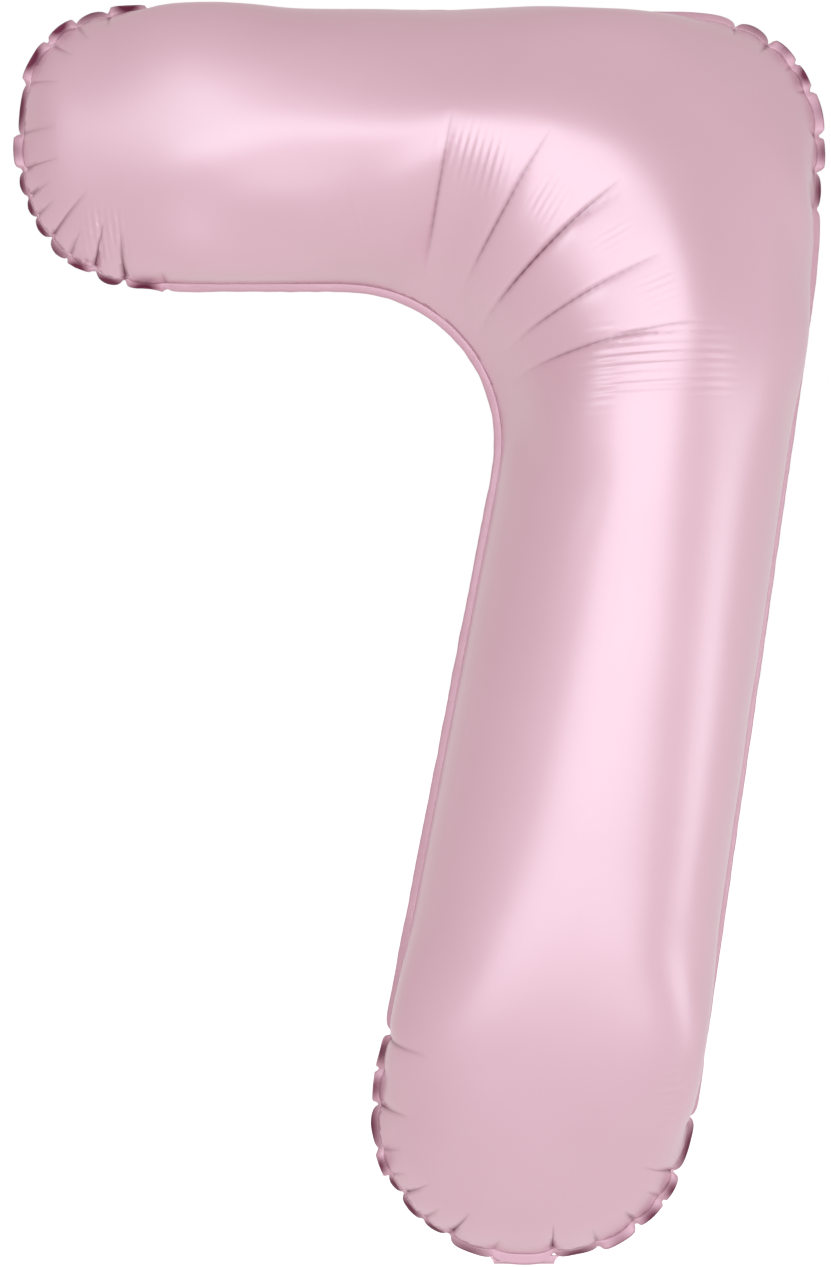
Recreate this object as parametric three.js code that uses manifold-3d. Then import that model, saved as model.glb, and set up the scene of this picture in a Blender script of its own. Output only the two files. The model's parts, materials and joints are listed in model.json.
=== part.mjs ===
// Foil number balloon, the numeral seven, inflated. Millimetres, +Z up, front face towards -Y.
//
// Two metallised film panels are heat-sealed to each other round their edge. Gas presses them apart
// into a round tube that bends from the bar into the stem, and the sealed edge stands out as a flat
// flange in the plane between them. A tail hangs from the neck, at the bottom of the foot: it is the
// filling inlet, and it is stored folded up behind the foot. Inside the foot, two plies of clear film
// run up from the neck. Gas pushed in between them parts them, and pressure closes them again.
//
// The real film is a few hundredths of a millimetre thick. Walls here are thicker, so that each
// panel, leaf and ply is a solid of its own.
//
// Origin: the middle of the neck, on the seam line at the bottom of the foot.

import * as THREE from "three";
import { mergeVertices } from "three/addons/utils/BufferGeometryUtils.js";
import Module from "manifold-3d";

// ---------------------------------------------------------------- driving dimensions

// The numeral's outline, measured on the seam line of the filled balloon.
const HEIGHT = 866; // foot to top of the bar
const CORNER_DROP = 4; // how much lower the bar's top is at the outer corner
const BAR_DEPTH = 189; // underside of the bar to its top
const BAR_REACH = 345; // neck to the bar's free end, at the top
const BAR_END_SLANT = 10; // how much further the free end reaches at the underside
const CORNER_REACH = 208; // neck to the outer corner
const SHOULDER_REACH = 201; // neck to the shoulder, where the stem's outer side starts to lean
const SHOULDER_HEIGHT = 690;
const FOOT_OUTER_REACH = 102; // neck to the foot's corner on the stem's outer side
const FOOT_INNER_REACH = 123;
const INNER_CORNER_REACH = 8; // neck to the corner between the bar's underside and the stem

// Corner radii of that outline.
const BAR_END_TOP_RADIUS = 66;
const BAR_END_BOTTOM_RADIUS = 86;
const OUTER_CORNER_RADIUS = 86;
const SHOULDER_RADIUS = 320;
const FOOT_OUTER_RADIUS = 100;
const FOOT_INNER_RADIUS = 96;
const INNER_BEND_RADIUS = 110;

// Film.
const FILM_WALL = 1;
const SEAM_WIDTH = 7; // the flange outside the seam line
const SEAL_GAP = 0.3; // between the two panels, which are welded on the real balloon
const FOOT_CAP_SHARE = 0.45; // where the foot starts to close, as a share of its width
const CORNER_SWELL = 0.1; // how much deeper the tube is at the bend, as a share of its radius

// Filling tail and valve.
const TAIL_WIDTH = 42;
const TAIL_LENGTH = 92;
const FOLD_GAP = 2.3; // flange edge to the fold line of the tail
const TAIL_ROOT_GAP = 1.6; // fold line to the tail's first edge
const VALVE_WIDTH = 34;
const VALVE_LENGTH = 150;
const VALVE_PLY = 0.4;
const VALVE_CORNER_RADIUS = 5;
const VALVE_CLEARANCE = 0.3; // round the plies where they pass between the panels

// Fineness of the mesh.
const STATION_SPACING = 24; // along the straight runs of the tube
const BEND_STATIONS = 17; // round the bend
const FAN_RIBS = 14; // round each closed end
const RIB_SPACING = 25; // along the seam line, at most
const RINGS = 8; // from the seam to the tube's ridge
const JOIN_DISTANCE = 0.01; // stretches of an outline shorter than this are only rounding
const ARC_POINTS = 12; // per corner of an outline
const VALVE_ARC_POINTS = 4; // per corner of a valve ply
const TAIL_STEPS = 10;

// Tolerances of the geometry.
const PARALLEL = 1e-9; // a cross product below this is of two parallel lines
const EDGE_SLACK = 1e-6; // share of an edge by which a ray may pass its end
const MERGE_DISTANCE = 1e-4;

const FOIL_COLOUR = 0xe2bccb;
const VALVE_COLOUR = 0xf2f4f5;

// ---------------------------------------------------------------- outline and ridge, as (x, z)

const point = (x, z) => new THREE.Vector2(x, z);

// A path through corners, each rounded to its radius. Open paths keep their two end points sharp.
function roundedPath(corners, closed) {
  const path = new THREE.Path();
  const count = corners.length;
  corners.forEach(({ at, radius }, i) => {
    const isEnd = !closed && (i === 0 || i === count - 1);
    if (isEnd) {
      if (i === 0) path.moveTo(at.x, at.y);
      else path.lineTo(at.x, at.y);
      return;
    }
    const toPrevious = corners[(i + count - 1) % count].at.clone().sub(at).normalize();
    const toNext = corners[(i + 1) % count].at.clone().sub(at).normalize();
    const halfAngle = Math.acos(THREE.MathUtils.clamp(toPrevious.dot(toNext), -1, 1)) / 2;
    const tangent = radius / Math.tan(halfAngle);
    const start = at.clone().addScaledVector(toPrevious, tangent);
    const end = at.clone().addScaledVector(toNext, tangent);
    const inward = toPrevious.clone().add(toNext).normalize();
    const centre = at.clone().addScaledVector(inward, radius / Math.sin(halfAngle));
    const angleTo = (p) => Math.atan2(p.y - centre.y, p.x - centre.x);
    const clockwise = toPrevious.cross(toNext) > 0;
    if (path.curves.length || !closed) path.lineTo(start.x, start.y);
    else path.moveTo(start.x, start.y);
    path.absarc(centre.x, centre.y, radius, angleTo(start), angleTo(end), clockwise);
  });
  if (closed) path.closePath();
  return path;
}

const barUnderside = HEIGHT - BAR_DEPTH;
const barAxisHeight = HEIGHT - BAR_DEPTH / 2;

// Anticlockwise as seen from the front: foot, stem's outer side, bar, stem's inner side.
const seamCorners = [
  { at: point(-FOOT_INNER_REACH, 0), radius: FOOT_INNER_RADIUS },
  { at: point(FOOT_OUTER_REACH, 0), radius: FOOT_OUTER_RADIUS },
  { at: point(SHOULDER_REACH, SHOULDER_HEIGHT), radius: SHOULDER_RADIUS },
  { at: point(CORNER_REACH, HEIGHT - CORNER_DROP), radius: OUTER_CORNER_RADIUS },
  { at: point(-BAR_REACH, HEIGHT), radius: BAR_END_TOP_RADIUS },
  { at: point(-BAR_REACH - BAR_END_SLANT, barUnderside), radius: BAR_END_BOTTOM_RADIUS },
  { at: point(INNER_CORNER_REACH, barUnderside), radius: INNER_BEND_RADIUS },
];
const seamLine = roundedPath(seamCorners, true)
  .getPoints(ARC_POINTS)
  .filter((p, i, all) => i === 0 || p.distanceTo(all[i - 1]) > JOIN_DISTANCE);

// The ridge is the middle line of the tube. It runs from the bar, round the bend, down to the foot,
// and stops half a tube's width short of each closed end.
const outerSlope = (SHOULDER_REACH - FOOT_OUTER_REACH) / SHOULDER_HEIGHT;
const innerSlope = (INNER_CORNER_REACH + FOOT_INNER_REACH) / barUnderside;
const axisSlope = (outerSlope + innerSlope) / 2;
const axisFoot = (FOOT_OUTER_REACH - FOOT_INNER_REACH) / 2;
const onAxis = (height) => point(axisFoot + axisSlope * height, height);
const ridgeStart = point(BAR_DEPTH / 2 - BAR_REACH, barAxisHeight);
const ridgeTurn = onAxis(barAxisHeight);
const footCap = (FOOT_OUTER_REACH + FOOT_INNER_REACH) * FOOT_CAP_SHARE;
const ridgeEnd = onAxis(footCap);
const ridge = roundedPath(
  [
    { at: ridgeStart },
    { at: ridgeTurn, radius: INNER_BEND_RADIUS + BAR_DEPTH / 2 },
    { at: ridgeEnd },
  ],
  false,
);

// Points along the ridge, each with its direction of travel. The bend has its own, closer spacing.
function ridgeStations() {
  const [bar, bend, stem] = ridge.curves.filter((curve) => curve.getLength() > JOIN_DISTANCE);
  const stations = [];
  for (const curve of [bar, bend, stem]) {
    const steps = curve === bend ? BEND_STATIONS : Math.ceil(curve.getLength() / STATION_SPACING);
    for (let i = curve === bar ? 0 : 1; i <= steps; i++) {
      stations.push({ at: curve.getPointAt(i / steps), along: curve.getTangentAt(i / steps) });
    }
  }
  return stations;
}

// Where a ray from the ridge meets the seam line, and the way out of the outline there.
function meetSeam(from, direction) {
  let best = { reach: Infinity };
  for (let i = 0; i < seamLine.length - 1; i++) {
    const a = seamLine[i];
    const side = seamLine[i + 1].clone().sub(a);
    const cross = direction.cross(side);
    if (Math.abs(cross) < PARALLEL) continue;
    const gap = a.clone().sub(from);
    const reach = gap.cross(side) / cross;
    const share = gap.cross(direction) / cross;
    const isOnEdge = share > -EDGE_SLACK && share < 1 + EDGE_SLACK;
    if (reach > 0 && reach < best.reach && isOnEdge) {
      best = { reach, outward: point(side.y, -side.x).normalize() };
    }
  }
  return best;
}

// How far the tube stands out from its middle plane at a station. The tube is as deep as it is wide,
// in the bar and in the stem, and a little deeper round the bend between them.
function halfDepth({ at, along }) {
  const wholeTurn = Math.PI / 2 + Math.atan(axisSlope);
  const turned = THREE.MathUtils.clamp(Math.abs(Math.atan2(along.y, along.x)) / wholeTurn, 0, 1);
  const footWidth = FOOT_OUTER_REACH + FOOT_INNER_REACH;
  const stemWidth = (footWidth + (outerSlope - innerSlope) * at.y) * Math.cos(Math.atan(axisSlope));
  const swell = 1 + CORNER_SWELL * Math.sin(Math.PI * turned);
  return (THREE.MathUtils.lerp(BAR_DEPTH, stemWidth, turned) / 2) * swell;
}

// Ribs run from the ridge out to the seam line, anticlockwise all the way round the outline.
function makeRibs(stations) {
  const ribs = [];
  const last = stations.length - 1;
  const addRib = (root, direction) => {
    const from = stations[root].at;
    const { reach, outward } = meetSeam(from, direction);
    const depth = halfDepth(stations[root]);
    ribs.push({ root, from, direction, reach, outward, depth });
  };
  const innerSide = (i) => point(stations[i].along.y, -stations[i].along.x);
  const addFan = (root, first) => {
    for (let k = 1; k < FAN_RIBS; k++) {
      addRib(root, first.clone().rotateAround(point(0, 0), (Math.PI * k) / FAN_RIBS));
    }
  };
  for (let i = 0; i <= last; i++) addRib(i, innerSide(i));
  addFan(last, innerSide(last));
  for (let i = last; i >= 0; i--) addRib(i, innerSide(i).negate());
  addFan(0, innerSide(0).negate());
  return ribs;
}

// Fills in between ribs that meet the seam line far apart, which they do at the outer corner. The
// extra ribs share the first one's root.
function fillWideGaps(sparse) {
  const seamPoint = (rib) => rib.from.clone().addScaledVector(rib.direction, rib.reach);
  return sparse.flatMap((rib, k) => {
    const next = sparse[(k + 1) % sparse.length];
    const start = seamPoint(rib);
    const end = seamPoint(next);
    const parts = Math.ceil(start.distanceTo(end) / RIB_SPACING);
    const extra = Array.from({ length: parts - 1 }, (_, i) => {
      const direction = start.clone().lerp(end, (i + 1) / parts).sub(rib.from).normalize();
      return { ...rib, direction, ...meetSeam(rib.from, direction) };
    });
    return [rib, ...extra];
  });
}

const stations = ridgeStations();
const ribs = fillWideGaps(makeRibs(stations));

// ---------------------------------------------------------------- solids

const wasm = await Module();
wasm.setup();

function toSolid(geometry) {
  const bare = geometry.clone();
  bare.deleteAttribute("normal");
  bare.deleteAttribute("uv");
  const merged = mergeVertices(bare, MERGE_DISTANCE);
  const vertProperties = new Float32Array(merged.attributes.position.array);
  const triVerts = new Uint32Array(merged.index.array);
  return new wasm.Manifold(new wasm.Mesh({ numProp: 3, vertProperties, triVerts }));
}

function toGeometry(solid) {
  const { numProp, vertProperties, triVerts } = solid.getMesh();
  const geometry = new THREE.BufferGeometry();
  const stride = new THREE.InterleavedBuffer(new Float32Array(vertProperties), numProp);
  geometry.setAttribute("position", new THREE.InterleavedBufferAttribute(stride, 3, 0));
  geometry.setIndex(new THREE.BufferAttribute(new Uint32Array(triVerts), 1));
  return geometry.toNonIndexed();
}

// One panel with its half of the flange. side is -1 for the front panel and 1 for the back.
function panelGeometry(side) {
  const positions = [];
  const indices = [];
  const addVertex = (p, depth) => positions.push(p.x, side * depth, p.y) / 3 - 1;

  // A skin is the tube's surface: rib vertices from the seam inwards, then one per ridge station.
  const addSkin = (lift, inset) => {
    const grid = ribs.map(({ from, direction, reach, depth }) =>
      Array.from({ length: RINGS }, (_, j) => {
        const out = Math.cos((j / RINGS) * (Math.PI / 2));
        const swell = depth * Math.sqrt(1 - out * out);
        return addVertex(from.clone().addScaledVector(direction, (reach - inset) * out), lift + swell);
      }),
    );
    const crest = stations.map((station) => addVertex(station.at, lift + halfDepth(station)));
    return grid.map((row, k) => [...row, crest[ribs[k].root]]);
  };
  const addEdge = (depth) =>
    ribs.map(({ from, direction, reach, outward }) => {
      const seam = from.clone().addScaledVector(direction, reach);
      return addVertex(seam.addScaledVector(outward, SEAM_WIDTH), depth);
    });

  // Joins two neighbouring columns of vertices, dropping the sliver where both end on one crest.
  const join = (a, b, flip) => {
    for (let j = 0; j < a.length - 1; j++) {
      const faces = [[a[j], b[j], b[j + 1]]];
      if (a[j + 1] !== b[j + 1]) faces.push([a[j], b[j + 1], a[j + 1]]);
      for (const [p, q, r] of faces) indices.push(...(flip ? [p, r, q] : [p, q, r]));
    }
  };

  const inner = SEAL_GAP / 2;
  const outer = inner + FILM_WALL;
  const outerSkin = addSkin(outer, 0);
  const innerSkin = addSkin(inner, FILM_WALL);
  const outerEdge = addEdge(outer);
  const innerEdge = addEdge(inner);
  const facesBack = side > 0;
  ribs.forEach((_, k) => {
    const next = (k + 1) % ribs.length;
    join([outerEdge[k], ...outerSkin[k]], [outerEdge[next], ...outerSkin[next]], facesBack);
    join([innerEdge[k], ...innerSkin[k]], [innerEdge[next], ...innerSkin[next]], !facesBack);
    join([innerEdge[k], outerEdge[k]], [innerEdge[next], outerEdge[next]], facesBack);
  });

  const geometry = new THREE.BufferGeometry();
  geometry.setAttribute("position", new THREE.Float32BufferAttribute(positions, 3));
  geometry.setIndex(indices);
  return geometry;
}

// The passage that the valve's plies take between the two panels at the neck.
function neckPassage() {
  const width = VALVE_WIDTH + 2 * VALVE_CLEARANCE;
  const depth = SEAL_GAP + 2 * (VALVE_PLY + VALVE_CLEARANCE);
  const height = 4 * SEAM_WIDTH;
  return toSolid(new THREE.BoxGeometry(width, depth, height));
}

function panel(side) {
  const shell = toSolid(panelGeometry(side)).subtract(neckPassage());
  return new THREE.Mesh(toGeometry(shell), foilMaterial());
}

// ---------------------------------------------------------------- tail and valve

const foldHeight = -(SEAM_WIDTH + FOLD_GAP); // the tail turns about this height
const tailRadius = footCap - foldHeight; // the stored tail curls round the foot's end

// One leaf of the tail: a band that curls up behind the foot. side is 1 for the leaf next to it.
function tailLeafGeometry(side) {
  const near = tailRadius - (side * SEAL_GAP) / 2;
  const far = near - side * FILM_WALL;
  const [small, large] = near < far ? [near, far] : [far, near];
  const from = TAIL_ROOT_GAP / tailRadius - Math.PI / 2;
  const to = from + TAIL_LENGTH / tailRadius;
  const band = new THREE.Shape();
  band.absarc(0, 0, large, from, to, false);
  band.absarc(0, 0, small, to, from, true);
  return new THREE.ExtrudeGeometry(band, {
    depth: TAIL_WIDTH,
    bevelEnabled: false,
    curveSegments: TAIL_STEPS,
  });
}

function tailLeaf(side) {
  const mesh = new THREE.Mesh(tailLeafGeometry(side), foilMaterial());
  const acrossThenUp = new THREE.Matrix4().makeBasis(
    new THREE.Vector3(0, 1, 0),
    new THREE.Vector3(0, 0, 1),
    new THREE.Vector3(1, 0, 0),
  );
  mesh.quaternion.setFromRotationMatrix(acrossThenUp);
  mesh.position.set(-TAIL_WIDTH / 2, 0, footCap);
  return mesh;
}

// One ply of the valve, from the flange's edge up into the foot. side is -1 for the front ply.
function valvePly(side) {
  const half = VALVE_WIDTH / 2;
  const tongue = roundedPath(
    [
      { at: point(-half, -SEAM_WIDTH) },
      { at: point(-half, VALVE_LENGTH - SEAM_WIDTH), radius: VALVE_CORNER_RADIUS },
      { at: point(half, VALVE_LENGTH - SEAM_WIDTH), radius: VALVE_CORNER_RADIUS },
      { at: point(half, -SEAM_WIDTH) },
    ],
    false,
  );
  const outline = new THREE.Shape(tongue.getPoints(VALVE_ARC_POINTS));
  const geometry = new THREE.ExtrudeGeometry(outline, { depth: VALVE_PLY, bevelEnabled: false });
  const mesh = new THREE.Mesh(geometry, valveMaterial());
  mesh.rotation.x = Math.PI / 2;
  mesh.position.y = side < 0 ? -SEAL_GAP / 2 : SEAL_GAP / 2 + VALVE_PLY;
  return mesh;
}

// ---------------------------------------------------------------- materials and assembly

function foilMaterial() {
  return new THREE.MeshStandardMaterial({ color: FOIL_COLOUR, roughness: 0.35, metalness: 0.6 });
}

function valveMaterial() {
  return new THREE.MeshStandardMaterial({ color: VALVE_COLOUR, roughness: 0.3, metalness: 0 });
}

const balloon = new THREE.Group();
const pieces = {
  front_panel: panel(-1),
  back_panel: panel(1),
  valve_front_ply: valvePly(-1),
  valve_back_ply: valvePly(1),
  tail_front_leaf: tailLeaf(-1),
  tail_back_leaf: tailLeaf(1),
};
for (const [name, mesh] of Object.entries(pieces)) {
  mesh.name = name;
  balloon.add(mesh);
}

export default balloon;
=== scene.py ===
# %% [markdown]
# # A foil number balloon, the numeral seven
#
# Two sheets of metallised polyester film are cut to the same outline and heat-sealed to each other
# all round. Gas presses them apart. The film hardly stretches, so a flat shape can't become round
# without puckering: the film gathers into tucks where the outline turns outwards, and into long
# folds where it turns inwards, at the bend of the seven.
#
# This lesson makes the balloon as it is really made. It cuts the flat film, seals it and fills it in
# a cloth simulation. The folds, the tucks and the sealed edge are worked up afterwards.
#
# The engineering model is loaded first. It fixes every size and every place, and each piece made
# here is fitted to it.

# %% Load the engineering model
import json
import math

import bmesh
import bpy
import numpy as np
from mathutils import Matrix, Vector
from mathutils.geometry import delaunay_2d_cdt
from mathutils.kdtree import KDTree

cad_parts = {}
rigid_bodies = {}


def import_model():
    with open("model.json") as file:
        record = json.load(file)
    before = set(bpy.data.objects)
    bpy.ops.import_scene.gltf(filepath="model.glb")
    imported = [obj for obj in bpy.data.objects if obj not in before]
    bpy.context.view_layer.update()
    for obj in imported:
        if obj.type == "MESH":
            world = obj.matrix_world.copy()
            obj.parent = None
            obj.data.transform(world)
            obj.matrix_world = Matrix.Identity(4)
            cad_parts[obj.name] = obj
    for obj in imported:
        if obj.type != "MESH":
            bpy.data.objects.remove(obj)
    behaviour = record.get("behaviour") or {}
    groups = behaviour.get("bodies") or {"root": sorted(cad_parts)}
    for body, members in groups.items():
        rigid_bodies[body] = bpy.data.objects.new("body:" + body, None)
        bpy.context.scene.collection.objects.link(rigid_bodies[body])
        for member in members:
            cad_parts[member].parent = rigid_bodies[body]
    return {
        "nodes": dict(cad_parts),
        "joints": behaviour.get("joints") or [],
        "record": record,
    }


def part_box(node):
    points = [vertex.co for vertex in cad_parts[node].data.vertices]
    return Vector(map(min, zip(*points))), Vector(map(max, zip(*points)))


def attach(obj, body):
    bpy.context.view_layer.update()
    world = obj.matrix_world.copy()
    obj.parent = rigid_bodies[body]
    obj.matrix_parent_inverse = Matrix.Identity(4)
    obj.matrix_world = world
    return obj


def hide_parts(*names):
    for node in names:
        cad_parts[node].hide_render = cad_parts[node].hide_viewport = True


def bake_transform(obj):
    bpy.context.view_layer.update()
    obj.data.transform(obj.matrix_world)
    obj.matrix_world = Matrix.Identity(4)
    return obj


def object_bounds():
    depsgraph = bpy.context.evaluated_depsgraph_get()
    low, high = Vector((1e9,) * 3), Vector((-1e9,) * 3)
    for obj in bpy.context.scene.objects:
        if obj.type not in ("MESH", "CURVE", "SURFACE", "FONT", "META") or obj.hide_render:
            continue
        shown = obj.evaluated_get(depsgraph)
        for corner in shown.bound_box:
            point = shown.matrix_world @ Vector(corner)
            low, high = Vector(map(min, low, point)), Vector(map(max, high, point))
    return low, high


for leftover in list(bpy.data.objects):
    bpy.data.objects.remove(leftover)
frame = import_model()
cad_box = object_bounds()
scene = bpy.context.scene

# %% [markdown]
# ## Units and small helpers
#
# The film is worked on in millimetres, as a maker would, and turned to metres when a mesh is made.
# A point of the outline is (x, z), because the outline lies in the plane where the sheets are sealed.

# %% Units and helpers
MM = 0.001


def unit(vectors):
    """Vectors of length one."""
    return vectors / np.linalg.norm(vectors, axis=-1, keepdims=True)


def heading(degrees):
    """The unit vector in the outline's plane that points that way, anticlockwise from x."""
    return np.array((math.cos(math.radians(degrees)), math.sin(math.radians(degrees))))


def run_along(points):
    """The distance along a line of points, at each of them."""
    return np.r_[0, np.cumsum(np.linalg.norm(np.diff(points, axis=0), axis=1))]


def even_steps(outline, step=None, count=None):
    """The closed outline again, in even steps of about that length or of that count."""
    closed = np.vstack([outline, outline[:1]])
    run = run_along(closed)
    count = count or int(round(run[-1] / step))
    at = np.arange(count) * run[-1] / count
    return np.column_stack([np.interp(at, run, closed[:, k]) for k in range(outline.shape[1])])


def soften_round(values, sigma):
    """Values in a closed ring, averaged with their neighbours by a bell curve of sigma steps."""
    reach = int(3 * sigma) + 1
    offsets = np.arange(-reach, reach + 1)
    weights = np.exp(-0.5 * (offsets / sigma) ** 2)
    weights /= weights.sum()
    return sum(w * np.roll(values, k, axis=0) for w, k in zip(weights, offsets))


def outward_of(outline):
    """The outward direction at each point of an anticlockwise outline."""
    along = np.roll(outline, -1, 0) - np.roll(outline, 1, 0)
    return unit(np.column_stack([along[:, 1], -along[:, 0]]))


def signed_area(outline):
    """Area of an outline, negative if it runs clockwise."""
    x, z = outline.T
    return 0.5 * np.sum(x * np.roll(z, -1) - np.roll(x, -1) * z)


def smooth_step(low, high, value):
    """0 below low, 1 above high, and an even ramp between them."""
    share = np.clip((np.asarray(value, float) - low) / (high - low), 0, 1)
    return share * share * (3 - 2 * share)


def search_tree(points):
    """A tree that finds which of the flat points are nearest."""
    tree = KDTree(len(points))
    for i, (x, z) in enumerate(points):
        tree.insert((x, z, 0), i)
    tree.balance()
    return tree


def nearest(points, targets):
    """For each target, the index of the nearest point and the distance to it."""
    tree = search_tree(points)
    found = [tree.find((x, z, 0)) for x, z in targets]
    return np.array([f[1] for f in found]), np.array([f[2] for f in found])


def new_piece(name, vertices, faces, material):
    """A smooth-shaded mesh object at the origin, from places in millimetres."""
    mesh = bpy.data.meshes.new(name)
    mesh.from_pydata((np.asarray(vertices) * MM).tolist(), [], np.asarray(faces).tolist())
    mesh.materials.append(material)
    mesh.shade_smooth()
    mesh.update()
    piece = bpy.data.objects.new(name, mesh)
    scene.collection.objects.link(piece)
    return piece


def apply_modifiers(piece):
    """Turns what the modifiers make into the piece's own plain mesh, and removes them."""
    graph = bpy.context.evaluated_depsgraph_get()
    result = bpy.data.meshes.new_from_object(piece.evaluated_get(graph))
    piece.modifiers.clear()
    piece.data = result
    return piece


# %% [markdown]
# ## Camera
#
# The balloon is seen straight from the front, from its own middle height and rather close. The
# distance matters: from close by, the round tube hides most of the sealed edge along the top of the
# bar, and the edge shows at the sides.

# %% Camera
CAMERA_DISTANCE = 1.25  # metres, to the plane of the seam
FRAME_HEIGHT = 0.8844  # metres of that plane that the picture takes in
VIEW_CENTRE = (-0.0757, 0.433)

camera_data = bpy.data.cameras.new("camera")
camera_data.sensor_fit = "VERTICAL"
camera_data.sensor_height = 36.0
camera_data.lens = camera_data.sensor_height * CAMERA_DISTANCE / FRAME_HEIGHT
camera = bpy.data.objects.new("camera", camera_data)
camera.location = (VIEW_CENTRE[0], -CAMERA_DISTANCE, VIEW_CENTRE[1])
camera.rotation_euler = (math.radians(90), 0, 0)
scene.collection.objects.link(camera)
scene.camera = camera
print("lens", round(camera_data.lens, 1), "mm")

# %% [markdown]
# ## Colours and nodes
#
# A designer writes colours as sRGB hex values, and a renderer works in linear light, so one function
# turns the first into the second. Another adds a node to a material with its settings and links.

# %% Colours and nodes


def linear(hex_colour):
    """An sRGB hex colour as linear red, green, blue and alpha."""
    channels = [int(hex_colour[i : i + 2], 16) / 255 for i in (1, 3, 5)]
    return (*[c / 12.92 if c <= 0.04045 else ((c + 0.055) / 1.055) ** 2.4 for c in channels], 1.0)


WHITE = linear("#ffffff")


def add_node(tree, kind, settings=None, inputs=None):
    """A new node. settings are its own options, and inputs are values or the sockets to link."""
    node = tree.nodes.new(kind)
    for name, value in (settings or {}).items():
        setattr(node, name, value)
    for name, value in (inputs or {}).items():
        if isinstance(value, bpy.types.NodeSocket):
            tree.links.new(value, node.inputs[name])
        else:
            node.inputs[name].default_value = value
    return node


def new_material(name):
    """A material with its node tree, its shader and nothing else."""
    material = bpy.data.materials.new(name)
    material.use_nodes = True
    shader = material.node_tree.nodes["Principled BSDF"]
    return material, material.node_tree, shader


# %% [markdown]
# ## Light
#
# Satin film shows soft bands of light, so the lamps are large softboxes, a little cooler than the
# room: a broad one behind the camera, a small one that brightens the end of the bar, and one at the
# side that draws the narrow second band along the stem.

# %% Lamps
COOL_WHITE = "#e9f9ff"
SOFTBOXES = [  # name, place and aim in metres, size in metres, power in watts
    ("key_softbox", (0.1, -2.4, 0.5), (-0.05, 0, 0.42), (2.9, 2.9), 44),
    ("bar_softbox", (-1.7, -2.0, 1.3), (-0.25, 0, 0.78), (0.8, 0.55), 5.8),
    ("side_softbox", (2.0, -0.7, 0.1), (0.05, 0, 0.3), (0.7, 1.2), 5),
]
for name, lamp_place, aim, size, power in SOFTBOXES:
    data = bpy.data.lights.new(name, "AREA")
    data.shape = "RECTANGLE"
    data.size, data.size_y = size
    data.energy = power
    data.color = linear(COOL_WHITE)[:3]
    light = bpy.data.objects.new(name, data)
    light.location = lamp_place
    light.rotation_euler = (Vector(aim) - Vector(lamp_place)).to_track_quat("-Z", "Y").to_euler()
    scene.collection.objects.link(light)
print(len(SOFTBOXES), "softboxes")

# %% [markdown]
# ## Floor
#
# The floor is plain white card, well below the balloon, with a trace of grain. It is kept out of the
# film's reflections, because a sheet this large would wash the pink out from below.

# %% Floor
FLOOR_DROP = 0.30  # metres from the balloon's lowest point to the floor
FLOOR_REACH = 20000.0  # mm from the middle to each side
FLOOR_GLOW = 0.62  # so that the card comes out white without a lamp of its own

floor_material, floor_tree, floor_shader = new_material("white_card_floor")
grain = add_node(floor_tree, "ShaderNodeTexNoise", {}, {"Scale": 40.0, "Detail": 3.0})
tint = add_node(
    floor_tree,
    "ShaderNodeMix",
    {"data_type": "RGBA"},
    {"Factor": grain.outputs["Fac"], "A": linear("#f6f6f6"), "B": linear("#fbfbfb")},
)
floor_tree.links.new(tint.outputs["Result"], floor_shader.inputs["Base Color"])
floor_shader.inputs["Roughness"].default_value = 0.9
floor_shader.inputs["Emission Color"].default_value = WHITE
floor_shader.inputs["Emission Strength"].default_value = FLOOR_GLOW
floor_z = (cad_box[0][2] - FLOOR_DROP) / MM
floor_corners = [
    (FLOOR_REACH * x, FLOOR_REACH * y, floor_z) for x, y in ((-1, -1), (1, -1), (1, 1), (-1, 1))
]
floor = new_piece("floor", floor_corners, [(0, 1, 2, 3)], floor_material)
floor.visible_glossy = False
floor.visible_diffuse = False
print("floor at", round(floor_z), "mm")

# %% [markdown]
# ## The room
#
# The room round the balloon is light grey in front and nearly white behind and below, which
# brightens the very edge of the tube, where the film turns away. The backdrop itself is white.

# %% Room
BRIGHT_WAY = (0.05, 0.7, -0.75)  # where the room is lightest: towards the back and below
ROOM_SHADES = [(0.35, "#c6bdbe"), (0.95, "#f2f2f2")]  # how far that way, and the shade there

world = bpy.data.worlds.new("studio")
scene.world = world
world.use_nodes = True
sky = world.node_tree
sky.nodes.clear()
direction = add_node(sky, "ShaderNodeTexCoord").outputs["Generated"]
facing = add_node(
    sky, "ShaderNodeVectorMath", {"operation": "DOT_PRODUCT"}, {0: direction, 1: BRIGHT_WAY}
).outputs["Value"]
from_front = add_node(sky, "ShaderNodeMapRange", {}, {"Value": facing, "From Min": -1.0})
studio = add_node(sky, "ShaderNodeValToRGB", {}, {"Fac": from_front.outputs["Result"]})
for stop, (position, shade) in zip(studio.color_ramp.elements, ROOM_SHADES):
    stop.position = position
    stop.color = linear(shade)
seen_by_camera = add_node(sky, "ShaderNodeLightPath").outputs["Is Camera Ray"]
shown = add_node(
    sky,
    "ShaderNodeMix",
    {"data_type": "RGBA"},
    {"Factor": seen_by_camera, "A": studio.outputs["Color"], "B": WHITE},
)
background = add_node(sky, "ShaderNodeBackground", {}, {"Color": shown.outputs["Result"]})
add_node(sky, "ShaderNodeOutputWorld", {}, {"Surface": background.outputs[0]})
scene.view_settings.view_transform = "Standard"
print("room with", len(ROOM_SHADES), "shades")
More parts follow.
